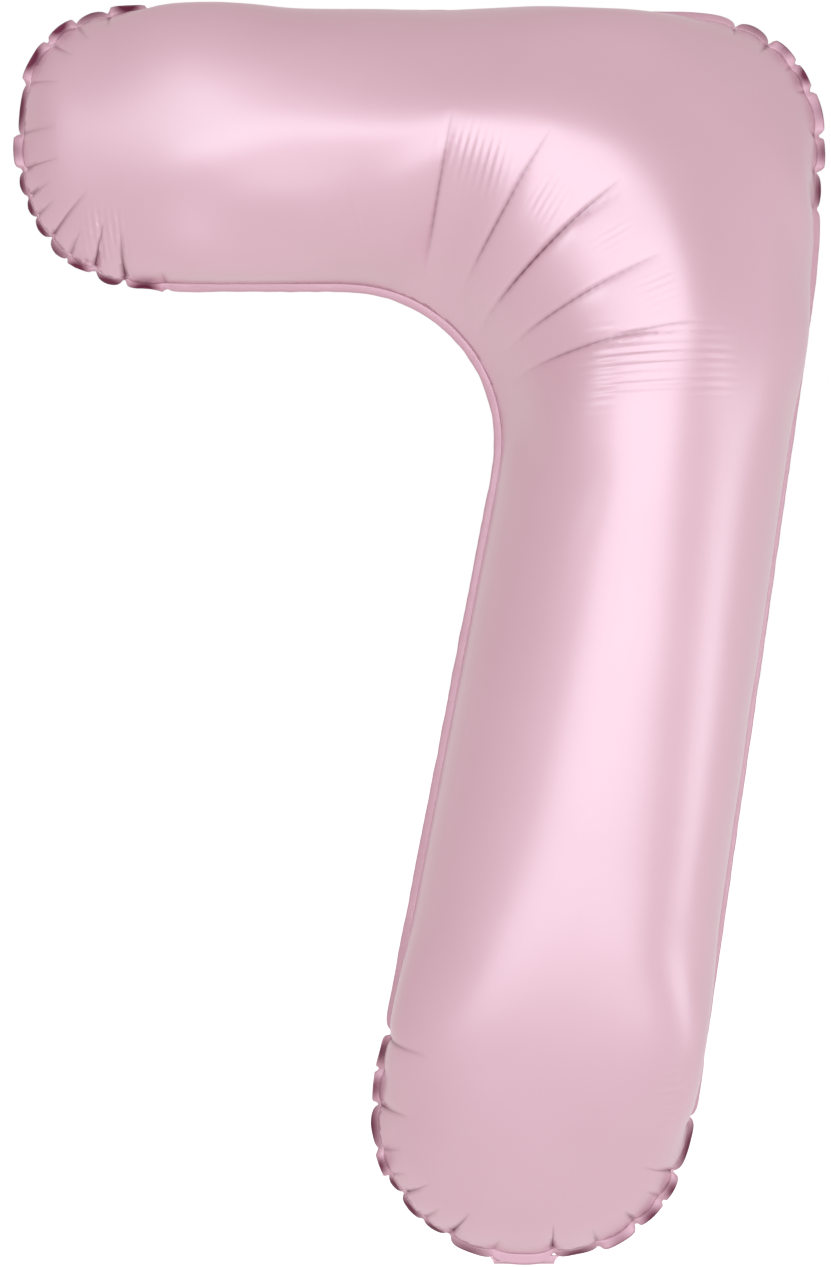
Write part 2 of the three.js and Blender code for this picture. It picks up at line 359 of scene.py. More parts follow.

# %% [markdown]
# ## The pearl film
#
# The film is clear polyester with a thin coat of aluminium behind it, printed pale pink with a matt
# pearl ink. To the eye that is a metal with a soft, wide shine: metallic, and rough enough that the
# lights spread into bands. The ink's faint clouds, its fine speckle and the very slight waviness of
# a thin film under load come from three noise patterns. Where film curls on itself, light bouncing
# between two pink faces comes out a deep wine red; that shade is painted into the colour, with less
# pearl shine, and an attribute named `curl` says where. The sealed edge and the tail are painted a
# little towards that red all over.

# %% Pearl film
FILM_PINK = "#e6b9c7"
FILM_ROSE = "#e0b0be"
# painted shade: the deep red that crease lines, curled lobes and the sealed edge are painted towards
PAINTED_SHADE_RED = "#6e2240"
CLOUD_MM = 90.0  # size of the faint clouds in the ink
# pearl ink has flakes of a few hundredths of a millimetre; here they are 1.2 mm, so that they show
FLAKE_MM = 1.2
WAVE_MM = 24.0  # length of the film's slight waves
SHADED_PEARL = 0.1  # how much of the pearl layer's shine is left where two faces nearly touch
FLAKE_SHINE = (0.46, 0.54)  # roughness, from flake to flake


def pearl_film(name, wave_height, pearl, painted_shade_base):
    """Satin pearl film. wave_height is how strong the fine waviness is, in millimetres, pearl is the
    weight of the pearl layer, and painted_shade_base how far the colour is painted towards the deep red
    shade even where the `curl` attribute is 0."""
    material, tree, shader = new_material(name)
    place = add_node(tree, "ShaderNodeTexCoord").outputs["Object"]
    cloud, flakes, waves = (
        add_node(
            tree, "ShaderNodeTexNoise", {}, {"Vector": place, "Scale": 1 / (size * MM), "Detail": detail}
        ).outputs["Fac"]
        for size, detail in ((CLOUD_MM, 2.0), (FLAKE_MM, 1.0), (WAVE_MM, 2.0))
    )
    # `curl` says how far shade is painted into the colour here, towards that deep red, with less pearl shine
    curl = add_node(tree, "ShaderNodeAttribute", {"attribute_name": "curl"}).outputs["Fac"]
    shade_share = add_node(tree, "ShaderNodeMapRange", {}, {"Value": curl, "To Min": painted_shade_base})
    pink = add_node(
        tree,
        "ShaderNodeMix",
        {"data_type": "RGBA"},
        {"Factor": cloud, "A": linear(FILM_PINK), "B": linear(FILM_ROSE)},
    )
    colour = add_node(
        tree,
        "ShaderNodeMix",
        {"data_type": "RGBA"},
        {"Factor": shade_share.outputs["Result"], "A": pink.outputs["Result"], "B": linear(PAINTED_SHADE_RED)},
    )
    sheen = add_node(
        tree, "ShaderNodeMapRange", {}, {"Value": curl, "To Min": pearl, "To Max": SHADED_PEARL * pearl}
    )
    shine = add_node(
        tree,
        "ShaderNodeMapRange",
        {},
        {"Value": flakes, "To Min": FLAKE_SHINE[0], "To Max": FLAKE_SHINE[1]},
    )
    bump = add_node(
        tree,
        "ShaderNodeBump",
        {},
        {"Height": waves, "Distance": wave_height * MM, "Strength": 1.0},
    )
    tree.links.new(colour.outputs["Result"], shader.inputs["Base Color"])
    tree.links.new(sheen.outputs["Result"], shader.inputs["Coat Weight"])
    tree.links.new(shine.outputs["Result"], shader.inputs["Roughness"])
    tree.links.new(bump.outputs["Normal"], shader.inputs["Normal"])
    # the aluminium is seen through a print that hides about two thirds of it
    shader.inputs["Metallic"].default_value = 0.34
    # the pearl layer: mica flakes coated with titania, whose high index gives a broad white sheen
    shader.inputs["Coat IOR"].default_value = 2.03
    shader.inputs["Coat Roughness"].default_value = 0.3
    return material


body_film = pearl_film("pearl_pink_metallised_film", 0.2, 1.0, 0.0)
# painted shade: the sealed edge, and the tail that shares this film, are painted 0.15 of the way towards the
# deep red everywhere
edge_film = pearl_film("heat_sealed_film_edge", 0.4, 0.35, 0.15)
print(body_film.name, "and", edge_film.name)

# %% [markdown]
# ## Valve film
#
# The valve is two plies of clear polyethylene tube film, slightly milky. It is thin enough that
# light goes through it, with a waxy, fairly soft shine.

# %% Valve film
STREAK_MM = 6.0
STREAK_STRETCH = 0.08  # the streaks run up the film, as it was drawn

valve_film, valve_tree, valve_shader = new_material("milky_polyethylene_film")
place = add_node(valve_tree, "ShaderNodeTexCoord").outputs["Object"]
stretched = add_node(valve_tree, "ShaderNodeMapping", {}, {"Vector": place, "Scale": (1, 1, STREAK_STRETCH)})
streaks = add_node(
    valve_tree,
    "ShaderNodeTexNoise",
    {},
    {"Vector": stretched.outputs["Vector"], "Scale": 1 / (STREAK_MM * MM), "Detail": 3.0},
)
milk = add_node(
    valve_tree,
    "ShaderNodeMix",
    {"data_type": "RGBA"},
    {"Factor": streaks.outputs["Fac"], "A": linear("#e9edf0"), "B": linear("#f7f8f9")},
)
valve_tree.links.new(milk.outputs["Result"], valve_shader.inputs["Base Color"])
valve_shader.inputs["Roughness"].default_value = 0.3
valve_shader.inputs["IOR"].default_value = 1.51
valve_shader.inputs["Alpha"].default_value = 0.75
print(valve_film.name)

# %% [markdown]
# ## Where the seam is
#
# Each panel of the engineering model carries the sealed edge as a flat band. That band's inner edge
# is the line where the film leaves the seam, and its outer edge is where the film was cut. Both are
# read from the model: they are the two borders of the faces that lie flat at the band's height.

# %% Read the seam from the model
FLATNESS = 0.02  # mm that a flat face may be off its level
SEAM_STEP = 1.0  # mm between the points of the seam line and of the flat film's outline
SEAM_SOFTEN = 8.0  # steps over which the model's short straights are rounded off


def flat_band_edges(node, level):
    """The borders of the faces lying flat at y = -level or level, as closed (x, z) outlines in mm."""
    mesh = frame["nodes"][node].data
    points, index = np.unique(
        np.round([v.co[:] for v in mesh.vertices], 6), axis=0, return_inverse=True
    )
    index = index.ravel()
    flat = np.abs(np.abs(points[:, 1]) - level) < FLATNESS * MM
    edges = set()
    for face in mesh.polygons:
        corners = [int(index[i]) for i in face.vertices]
        if flat[corners].all():
            edges.update(zip(corners, corners[1:] + corners[:1]))
    following = {a: b for a, b in edges if (b, a) not in edges}
    outlines = []
    while following:
        at = min(following)
        ring = []
        while at in following:
            ring.append(at)
            at = following.pop(at)
        outline = points[ring][:, [0, 2]] / MM
        outlines.append(outline if signed_area(outline) > 0 else outline[::-1])
    return sorted(outlines, key=signed_area)


seam_mount = next(m for m in frame["record"]["mounts"] if m["name"] == "top_seam_back")
band_level = abs(seam_mount["pos_m"][1])
seam_outline, cut_outline = flat_band_edges("front_panel", band_level)[-2:]
seam_line = soften_round(even_steps(seam_outline, SEAM_STEP), SEAM_SOFTEN)
seam_length = len(seam_line) * SEAM_STEP
edge_width = np.ptp(cut_outline[:, 1]) / 2 - np.ptp(seam_outline[:, 1]) / 2
print(f"seam {seam_length:.0f} mm round, sealed edge {edge_width:.1f} mm wide")

# %% [markdown]
# ## Cutting the flat film
#
# A flat tube of film draws in when it is filled: a width w becomes a round of 2w/pi. So the sheets
# are cut larger than the filled balloon, by about 28 mm more on each side of the bar and the stem.
# Where the outline bends, the two sides draw in by different amounts, and the corners below were
# found by filling one pattern after another until the filled seam met the model's.

# %% The cut pattern
# corners of the flat film: x and z in mm from the neck, and the radius of the corner
FILM_CORNERS = [
    (-92, -56, 128),  # foot, inner side
    (153, -32, 124),  # foot, outer side
    (231, 679, 300),  # shoulder
    (221, 857, 115),  # outer corner
    (-336, 970, 85),  # bar's end, top
    (-386, 785, 95),  # bar's end, underside
    (-100, 622, 128),  # inner bend
]


def corner_arc(corners, i):
    """The centre, start and end of the arc that rounds corner i."""
    at = np.array(corners[i][:2], float)
    before = unit(np.array(corners[i - 1][:2]) - at)
    after = unit(np.array(corners[(i + 1) % len(corners)][:2]) - at)
    radius = corners[i][2]
    half = math.acos(np.clip(before @ after, -1, 1)) / 2
    centre = at + unit(before + after) * radius / math.sin(half)
    run = radius / math.tan(half)
    return centre, at + before * run, at + after * run


def rounded_outline(corners, step):
    """The closed outline through all corners, each drawn as an arc of its radius."""
    points = []
    for i, (_, _, radius) in enumerate(corners):
        centre, start, end = corner_arc(corners, i)
        first = math.atan2(*(start - centre)[::-1])
        last = math.atan2(*(end - centre)[::-1])
        turn = (last - first + math.pi) % (2 * math.pi) - math.pi
        count = max(2, int(abs(turn) * radius / step))
        angles = first + turn * np.arange(count + 1) / count
        points.append(centre + radius * np.column_stack([np.cos(angles), np.sin(angles)]))
    return np.vstack(points)


ARC_STEP = 3.0  # mm between points on a corner
film_outline = even_steps(rounded_outline(FILM_CORNERS, ARC_STEP), step=SEAM_STEP)
print(f"flat film {np.ptp(film_outline[:, 0]):.0f} x {np.ptp(film_outline[:, 1]):.0f} mm")

# %% [markdown]
# A simulation wants even triangles that favour no direction, so the sheet is filled with points in
# a honeycomb and joined up by a Delaunay triangulation that keeps the outline. The same function
# makes the coarse sheet that is simulated and, later, the fine sheet that is shown, which has
# extra points where folds will be.

# %% Triangulate a sheet


def inside(points, outline):
    """True for the points inside a closed outline."""
    result = np.zeros(len(points), bool)
    x, z = points.T
    for (ax, az), (bx, bz) in zip(outline, np.roll(outline, -1, 0)):
        if az == bz:
            continue
        crosses = (az > z) != (bz > z)
        result ^= crosses & (x < (bx - ax) * (z - az) / (bz - az) + ax)
    return result


def honeycomb(low, high, step):
    """Points in staggered rows between two corners, in even triangles of that side."""
    row_gap = step * math.sqrt(3) / 2
    rows = []
    for r, z in enumerate(np.arange(low[1], high[1], row_gap)):
        x = np.arange(low[0] + (r % 2) * step / 2, high[0], step)
        rows.append(np.column_stack([x, np.full(len(x), z)]))
    return np.vstack(rows)


def triangulate(border, points):
    """Vertices, the border's first, and triangles of the sheet inside the border."""
    count = len(border)
    rim = [(i, (i + 1) % count) for i in range(count)]
    places = [Vector(p) for p in np.vstack([border, points])]
    flat, _, faces, *_ = delaunay_2d_cdt(places, rim, [list(range(count))], 1, 1e-6)
    flat = np.array([v[:] for v in flat])
    assert len(flat) == count + len(points), "the border crosses itself or a point lies on it"
    faces = np.array([f[:3] for f in faces])
    a, b, c = (flat[faces[:, k]] for k in range(3))
    ab, ac = b - a, c - a
    clockwise = ab[:, 0] * ac[:, 1] - ab[:, 1] * ac[:, 0] < 0
    faces[clockwise] = faces[clockwise][:, ::-1]
    return flat, faces


SIM_STEP = 8.0  # mm, the side of a simulated triangle
BORDER_ROOM = 0.6  # steps kept clear between the border and the points inside it
sim_border = even_steps(film_outline, SIM_STEP)
grid = honeycomb(film_outline.min(0), film_outline.max(0), SIM_STEP)
_, clear = nearest(film_outline, grid)
grid = grid[inside(grid, sim_border) & (clear > BORDER_ROOM * SIM_STEP)]
sim_flat, sim_faces = triangulate(sim_border, grid)
print("sheet to fill:", len(sim_flat), "points,", len(sim_faces), "triangles")

# %% [markdown]
# ## Filling the balloon
#
# The two sheets share their border, as welded film does, and the border carries a narrow strip for
# the sealed edge. Blender's cloth fills it: a stiff, light cloth with gas pressure inside and no
# gravity, because a filled balloon's shape is set by its pressure alone. Shallow creases pressed
# into the sheets first, fanned round the inner bend, tell the film where to fold. Without them it
# folds at random there.

# %% Press shallow creases first
PRESS_DEPTH = 8.0  # mm
PRESS_WIDTH = 6.0  # mm
CREASE_START = (-5, 15)  # mm from the arc, over which a pressed crease sets in
CREASE_END = (150, 110)  # and over which it fades
INNER_BEND = 6  # its place in the list of corners
# where a crease leaves the arc of the inner bend, and which way it runs, both in degrees
PRESSED_CREASES = [(47, 50), (38, 38), (29.5, 33), (20, 27), (12, 18)]


def crease_dips(flat):
    """How deep the pressed creases are at each point of the flat sheet, from 0 to 1."""
    centre = corner_arc(FILM_CORNERS, INNER_BEND)[0]
    radius = FILM_CORNERS[INNER_BEND][2]
    dip = np.zeros(len(flat))
    for angle, way in PRESSED_CREASES:
        start = centre + radius * heading(angle)
        along = heading(way)
        run = (flat - start) @ along
        off = (flat - start) @ np.array((-along[1], along[0]))
        fade = smooth_step(*CREASE_START, run) * smooth_step(*CREASE_END, run)
        dip = np.maximum(dip, fade * np.exp(-((off / PRESS_WIDTH) ** 2)))
    return dip


pressed = crease_dips(sim_flat)
print(len(PRESSED_CREASES), "pressed creases over", int((pressed > 0.5).sum()), "points")

# %% [markdown]
# The cloth resists stretching far more than shortening, as film does: it gathers rather than grows.
# The pressure acts on the two sheets and not on the strip outside the seam. Nothing collides,
# because the pressure keeps the sheets apart.

# %% Fill it
FIRST_SWELL = 4.0  # mm that the sheets stand apart at the start
SWELL_REACH = 20.0  # mm from the seam over which they part
FILL_FRAMES = 30


def fill_balloon(flat, faces, border, dips, frames):
    """Cloth-simulates both sheets under gas pressure. Returns front and back places, in mm."""
    rim, count = len(border), len(flat)
    back = np.arange(count)
    back[rim:] += count - rim
    _, off_seam = nearest(film_outline, flat)
    swell = FIRST_SWELL * (1 - np.exp(-off_seam / SWELL_REACH)) - PRESS_DEPTH * dips
    swell[:rim] = 0
    front = np.column_stack([flat[:, 0], -swell, flat[:, 1]])
    rear = np.column_stack([flat[rim:, 0], swell[rim:], flat[rim:, 1]])
    tips = border + outward_of(border) * edge_width
    strip = np.column_stack([tips[:, 0], np.zeros(rim), tips[:, 1]])
    first_tip = count + len(rear)
    i = np.arange(rim)
    j = (i + 1) % rim
    strip_faces = np.vstack(
        [np.column_stack([i, first_tip + i, first_tip + j]), np.column_stack([i, first_tip + j, j])]
    )
    all_faces = np.vstack([faces, back[faces][:, ::-1], strip_faces])
    cloth = new_piece("filling", np.vstack([front, rear, strip]), all_faces, body_film)
    gas = cloth.vertex_groups.new(name="gas")
    gas.add(list(range(first_tip)), 1.0, "ADD")

    modifier = cloth.modifiers.new("film", "CLOTH")
    film = modifier.settings
    film.quality = 6
    film.mass = 0.05
    film.air_damping = 5
    film.tension_stiffness = 80
    film.compression_stiffness = 5
    film.shear_stiffness = 20
    film.bending_stiffness = 0.05
    film.tension_damping = film.compression_damping = film.shear_damping = 5
    film.bending_damping = 0.5
    film.use_pressure = True
    film.uniform_pressure_force = 12
    film.vertex_group_pressure = "gas"
    film.effector_weights.gravity = 0
    modifier.collision_settings.use_collision = False
    modifier.point_cache.frame_start = 1
    modifier.point_cache.frame_end = frames
    scene.frame_start, scene.frame_end = 1, frames
    for step in range(1, frames + 1):
        scene.frame_set(step)
    filled = apply_modifiers(cloth).data
    places = np.empty(len(filled.vertices) * 3, np.float32)
    filled.vertices.foreach_get("co", places)
    places = places.reshape(-1, 3).astype(float) / MM
    bpy.data.objects.remove(cloth)
    scene.frame_set(1)
    return places[:count], places[back]


sim_front, sim_back = fill_balloon(sim_flat, sim_faces, sim_border, pressed, FILL_FRAMES)
print("filled: depth", (np.ptp(np.vstack([sim_front, sim_back]), axis=0)).round(0), "mm")

# %% [markdown]
# A coarse cloth leaves loose dents that a tight film doesn't have. Ironing moves each point towards
# the middle of its neighbours and then a little less far back, over and over, which takes short
# waves out and leaves the size of the tube alone.

# %% Iron out loose dents
IRON_ROUNDS = 40
BEND_ROUNDS = 160  # more, round the bend, where the folds are pressed in afterwards
IRON_IN, IRON_OUT = 0.6, -0.63
BEND_CENTRE = np.array((10.0, 690.0))
BEND_REACH = 170.0  # mm

sides = np.vstack([sim_faces[:, [0, 1]], sim_faces[:, [1, 2]], sim_faces[:, [2, 0]]])
edges = np.unique(np.sort(sides, 1), axis=0)


def ironed(places, held, rounds, share):
    """The sheet's places with short waves taken out. The first points, the border's, are held."""
    result = places.copy()
    ends = np.vstack([edges, edges[:, ::-1]])
    neighbours = np.bincount(ends[:, 0], minlength=len(places))[:, None]
    for _ in range(rounds):
        for amount in (IRON_IN, IRON_OUT):
            total = np.column_stack(
                [np.bincount(ends[:, 0], result[ends[:, 1], k], len(places)) for k in range(3)]
            )
            move = amount * (total / neighbours - result) * share
            move[:held] = 0
            result += move
    return result


from_bend = np.linalg.norm(sim_front[:, [0, 2]] - BEND_CENTRE, axis=1)
at_bend = smooth_step(BEND_REACH, 0.6 * BEND_REACH, from_bend)[:, None]
sim_front, sim_back = (
    ironed(ironed(places, len(sim_border), IRON_ROUNDS, 1.0), len(sim_border), BEND_ROUNDS, at_bend)
    for places in (sim_front, sim_back)
)
print("ironed: depth", (np.ptp(np.vstack([sim_front, sim_back]), axis=0)).round(0), "mm")

# %% [markdown]
# ## Fitting the filled shape to the model
#
# The simulated seam lands about a centimetre off the model's, on average. The rest is taken up by moving
# the whole shape with it: each seam point is told how far it is from the model's seam line, and
# every other point follows the seam points near it, most of all the nearest.

# %% Fit to the model's seam
FIT_SOFTEN = 24.0  # mm along the seam over which the correction is averaged
FIT_CORE = 60.0  # mm2, so that a point on the seam isn't pulled by one neighbour alone
FIT_POWER = 1.2

rim = len(sim_border)
sim_seam = sim_front[:rim][:, [0, 2]]
hit, _ = nearest(seam_line, sim_seam)
pull = soften_round(seam_line[hit] - sim_seam, FIT_SOFTEN / SIM_STEP)


def follow_seam(places):
    """The places moved as the seam near them has to move."""
    moved = places.copy()
    gap = ((places[:, None, [0, 2]] - sim_seam[None]) ** 2).sum(2) + FIT_CORE
    weight = gap**-FIT_POWER
    shift = weight @ pull / weight.sum(1, keepdims=True)
    moved[:, [0, 2]] += shift
    return moved


print(f"seam off by {np.linalg.norm(seam_line[hit] - sim_seam, axis=1).mean():.1f} mm on average")
sim_front, sim_back = follow_seam(sim_front), follow_seam(sim_back)
sim_seam = sim_front[:rim][:, [0, 2]]

# %% [markdown]
# The coarse cloth also swells too high over the top seam, beside the outer corner. That much is
# taken off again, most of it half-way up the tube's side and none at the seam.

# %% Trim the swell beside the outer corner
CORNER_SWELL = 6.0  # mm taken off
SWELL_MIDDLE, SWELL_SPREAD = 68, 50  # mm along the bar
SWELL_HEIGHTS = (780, 850)  # mm over which it sets in
SWELL_DEPTH = 40  # mm from the seam's plane at which it is whole

for places in (sim_front, sim_back):
    beside = np.exp(-(((places[:, 0] - SWELL_MIDDLE) / SWELL_SPREAD) ** 2))
    high = smooth_step(*SWELL_HEIGHTS, places[:, 2]) * smooth_step(0, SWELL_DEPTH, np.abs(places[:, 1]))
    places[:, 2] -= CORNER_SWELL * beside * high
print("trimmed by up to", CORNER_SWELL, "mm")

# %% [markdown]
# ## The folds round the bend
#
# Five long folds and one short branch fan out from the inner bend on the front, and between some of
# them the film is finely ribbed. Each fold starts a little way in from the seam, runs nearly
# straight over the crest of the tube and dies away. Its section is a cusp: two smooth swells that
# meet in a line. The folds are drawn on the filled balloon, as (x, z) seen straight from the front,
# and the back sheet folds in its own way, a little differently.

# %% Where the folds and ribs are
FRONT_FOLDS = [  # start, middle and end in mm, and depth
    ((-69, 678), (-60, 726), (-52, 770), 2.2),
    ((-46, 663), (-17, 711), (11, 756), 2.6),
    ((-34, 640), (11, 686), (56, 724), 3.8),
    ((-16, 624), (32, 652), (83, 677), 2.4),
    ((-10, 606), (46, 622), (108, 634), 2.2),
    ((25, 697), (41, 707), (57, 715), 0.9),
]
BACK_FOLDS = [
    ((-74, 680), (-68, 724), (-64, 762), 2.0),
    ((-52, 668), (-27, 712), (-4, 758), 2.7),
    ((-35, 652), (3, 695), (44, 737), 2.6),
    ((-20, 632), (29, 666), (76, 696), 2.9),
    ((-12, 612), (39, 634), (97, 652), 2.2),
]
# patches of fine ribs: centre, heading of the ribs in degrees, half length, half width, rib spacing
FRONT_RIBS = [
    ((-38, 741), 75, 17, 24, 5.0, 0.34),
    ((11, 714), 58, 13, 11, 4.6, 0.26),
    ((50, 685), 30, 12, 8, 4.6, 0.16),
    ((80, 653), 24, 12, 12, 4.8, 0.16),
    ((76, 605), 4, 40, 26, 6.0, 0.42),
    ((-290, 704), 94, 15, 15, 4.8, 0.55),
    ((-114, 708), 105, 14, 5, 7.0, 0.16),
    ((97, 120), 4, 9, 22, 6.5, 0.45),
]
BACK_RIBS = [
    ((-30, 744), 74, 16, 20, 5.0, 0.3),
    ((60, 640), 12, 30, 20, 6.0, 0.36),
    ((-300, 706), 92, 12, 14, 4.8, 0.3),
]
print(len(FRONT_FOLDS), "folds in front and", len(BACK_FOLDS), "behind")

# %% [markdown]
# ## Tucks in the sealed edge
#
# Where the outline turns outwards, at the bar's end, the outer corner and the foot, the seam is
# too long for the filled shape, and it takes up the spare length in tucks. Each tuck pulls the seam
# in and leaves a short crease in the film. Between two tucks the sealed edge stands out in a lobe
# that curls forwards or back.

# %% The tucks
TUCKS = [  # x and z of the place on the seam, crease length and crease depth in mm
    (20, 0, 38, 2.8),
    (52, 6, 22, 1.2),
    (81, 17, 22, 1.8),
    (98, 36, 24, 1.2),
    (107, 56, 46, 2.0),
    (112, 96, 24, 1.5),
    (118, 144, 26, 1.5),
    (206, 730, 18, 1.1),
    (208, 755, 18, 1.5),
    (208, 780, 22, 1.5),
    (200, 812, 18, 1.2),
    (190, 830, 16, 1.0),
    (172, 846, 24, 1.6),
    (148, 858, 22, 1.5),
    (-262, 866, 30, 1.1),
    (-290, 864, 30, 1.4),
    (-312, 857, 30, 1.2),
    (-328, 842, 30, 1.5),
    (-340, 815, 34, 1.0),
    (-346, 782, 34, 1.0),
    (-350, 757, 36, 1.8),
    (-349, 738, 24, 1.6),
    (-345, 722, 22, 1.5),
    (-337, 704, 48, 2.2),
    (-322, 690, 24, 1.6),
    (-303, 680, 42, 3.0),
    (-279, 677, 38, 3.0),
    (-250, 676, 16, 1.0),
    (-100, 155, 60, 2.8),
    (-106, 130, 22, 1.2),
    (-108, 105, 38, 2.2),
    (-105, 72, 22, 1.2),
    (-99, 52, 18, 1.1),
    (-89, 38, 30, 2.2),
    (-72, 21, 22, 1.4),
    (-54, 9, 34, 3.0),
    (-22, 1, 18, 1.1),
]
FULL_TUCK = 2.0  # mm of crease depth from which the seam is drawn in the whole way
TUCK_PULL = 2.0  # mm that it is drawn in
TUCK_WIDTH = 3.5  # mm along the seam

tuck_at = nearest(seam_line, [(x, z) for x, z, _, _ in TUCKS])[0] * SEAM_STEP
tuck_order = np.argsort(tuck_at)
tuck_at = tuck_at[tuck_order]
tuck_length, tuck_depth = np.array([t[2:] for t in TUCKS], float)[tuck_order].T


def round_gap(a, b):
    """How far b is ahead of a along the seam, by the shorter way, in mm."""
    return (b - a + seam_length / 2) % seam_length - seam_length / 2


seam_run = np.arange(len(seam_line)) * SEAM_STEP
gather = np.zeros(len(seam_line))
for at, depth in zip(tuck_at, tuck_depth):
    near_tuck = np.exp(-np.abs(round_gap(at, seam_run)) / TUCK_WIDTH)
    gather = np.maximum(gather, depth / FULL_TUCK * near_tuck)
gather = np.minimum(gather, 1.0)

print(len(tuck_at), "tucks in", round(seam_length), "mm of seam")

# %% [markdown]
# ## Lobes between the tucks
#
# Film that is gathered at two places arches between them. Each lobe gets a lean of its own, forwards
# or back, from a seeded draw. Where the tucks are far apart the edge is straight, and leans back a
# little, all the same way. At the neck it lies flat, because the tail leaves it there.

# %% Lobes
NECK_CLEAR = 30.0  # mm round the neck that lie flat
LONGEST_LOBE = 48.0  # mm; further apart, the edge between two tucks is straight
LOBE_FULLNESS = 0.7  # below 1, an arch fills out towards its tucks
LOBE_LEANS = (0.4, 1.0)  # the least and the most that a lobe leans
LOBE_STAND = 0.7  # mm that a lobe carries the seam line outwards
LOBE_SWAY = 1.6  # mm that it carries it out of its plane
SWAY_SOFTEN = 2.0  # mm
STRAIGHT_LEAN = 0.55
NECK_SOFTEN = 5.0  # mm
rng = np.random.default_rng(7)

lobe = np.zeros(len(seam_line))
lean = np.zeros(len(seam_line))
for k, start in enumerate(tuck_at):
    span = (tuck_at[(k + 1) % len(tuck_at)] - start) % seam_length
    if span > LONGEST_LOBE:
        continue
    share = ((seam_run - start) % seam_length) / span
    arch = np.where(share < 1, np.sin(math.pi * np.clip(share, 0, 1)) ** LOBE_FULLNESS, 0)
    at_neck = np.linalg.norm(seam_line[int(start + span / 2) % len(seam_line)]) < NECK_CLEAR
    sway = 0.0 if at_neck else rng.choice([-1.0, 1.0]) * rng.uniform(*LOBE_LEANS)
    lobe += arch
    lean += arch * sway
seam_shape = seam_line + outward_of(seam_line) * (LOBE_STAND * lobe - TUCK_PULL * gather)[:, None]
seam_sway = LOBE_SWAY * soften_round(lean, SWAY_SOFTEN)
off_neck = smooth_step(NECK_CLEAR, 2 * NECK_CLEAR, np.linalg.norm(seam_line, axis=1))
lean_shape = lean + STRAIGHT_LEAN * (1 - np.clip(lobe, 0, 1)) * soften_round(off_neck, NECK_SOFTEN)
print("lobes over", round(float((lobe > 0).mean() * 100)), "% of the seam")

# %% [markdown]
# ## The fine sheets
#
# The simulation's triangles are 8 mm, which is right for filling and far too coarse for a crease.
# So each sheet is cut again from the same flat pattern, in 4 mm triangles, with closer points along
# every fold, tuck and ribbed patch. Each new point is laid onto the filled shape by fitting a small
# curved patch through the simulated points around it, which also irons out the loose wrinkles that
# a coarse simulation leaves.

# %% Lay points on a filled shape
TINY = 1e-9  # keeps a patch solvable where its points lie on one line


def lay_on(source, values, targets, radius, count):
    """Values at the targets, each from a curved patch fitted to the source points around it."""
    tree = search_tree(source)
    near = np.array([[hit[1] for hit in tree.find_n((x, z, 0), count)] for x, z in targets])
    radius = np.broadcast_to(radius, len(targets))[:, None]
    u, v = np.moveaxis((source[near] - targets[:, None]) / radius[..., None], 2, 0)
    weight = np.exp(-(u * u + v * v))
    patch = np.stack([np.ones_like(u), u, v, u * u, u * v, v * v], axis=2)
    weighted = patch * weight[..., None]
    normal = np.einsum("nki,nkj->nij", weighted, patch) + TINY * np.eye(patch.shape[2])
    right = np.einsum("nki,nkc->nic", weighted, values[near])
    return np.linalg.solve(normal, right)[:, 0]


# %% [markdown]
# The close points stand in rows beside each fold and tuck, and in a grid over each ribbed patch. The
# rows are no further apart than the points along them, because long thin triangles across a crease
# would make its line ragged.

# %% Close points
FINE_STEP = 4.0  # mm, the side of a plain triangle
CREASE_ROWS = (0.0, 1.2, 2.8, 5.2)  # mm either side of a fold
CREASE_STEP = 1.7  # mm along it
RIB_POINTS = 3.6  # points across one rib
RIB_MARGINS = (1.3, 1.5)  # how far past its half width and half length a patch has close points
TUCK_ROWS = (0.0, 1.3, -1.3, 3.2, -3.2)  # mm either side of a tuck
TUCK_STEP = 1.8  # mm along it
TUCK_FIRST = 2.0  # mm in from the border
TUCK_PAST = 4.0  # mm beyond its end


def between(points, step):
    """Points along a smooth line through three points, each with the direction of travel."""
    start, middle, end = (np.array(p, float) for p in points)
    bow = 2 * middle - (start + end) / 2
    count = max(3, int(np.linalg.norm(end - start) / step))
    t = np.linspace(0, 1, count)[:, None]
    places = (1 - t) ** 2 * start + 2 * t * (1 - t) * bow + t * t * end
    along = unit(2 * (1 - t) * (bow - start) + 2 * t * (end - bow))
    return places, along


def thin_out(points, gap):
    """The points, without any that lies within the gap of one kept before it."""
    cells = {}
    kept = []
    for x, z in points:
        column, row = int(x // gap), int(z // gap)
        around = [cells.get((column + i, row + j), ()) for i in (-1, 0, 1) for j in (-1, 0, 1)]
        if all(math.hypot(px - x, pz - z) >= gap for cell in around for px, pz in cell):
            cells.setdefault((column, row), []).append((x, z))
            kept.append((x, z))
    return np.array(kept)


def detail_points(folds, ribs):
    """Close points, as seen from the front, along folds and tucks and over ribbed patches."""
    points = []
    for start, middle, end, _ in folds:
        places, along = between((start, middle, end), CREASE_STEP)
        across = np.column_stack([-along[:, 1], along[:, 0]])
        for row in CREASE_ROWS:
            points += [places + across * row, places - across * row]
    for centre, way, half_length, half_width, spacing, _ in ribs:
        along = heading(way)
        across = np.array((-along[1], along[0]))
        step = spacing / RIB_POINTS
        reach_u, reach_v = half_width * RIB_MARGINS[0], half_length * RIB_MARGINS[1]
        u = np.arange(-reach_u, reach_u, step)
        v = np.arange(-reach_v, reach_v, 2 * step)
        grid_u, grid_v = (g.ravel()[:, None] for g in np.meshgrid(u, v))
        points.append(np.array(centre) + across * grid_u + along * grid_v)
    return np.vstack(points)


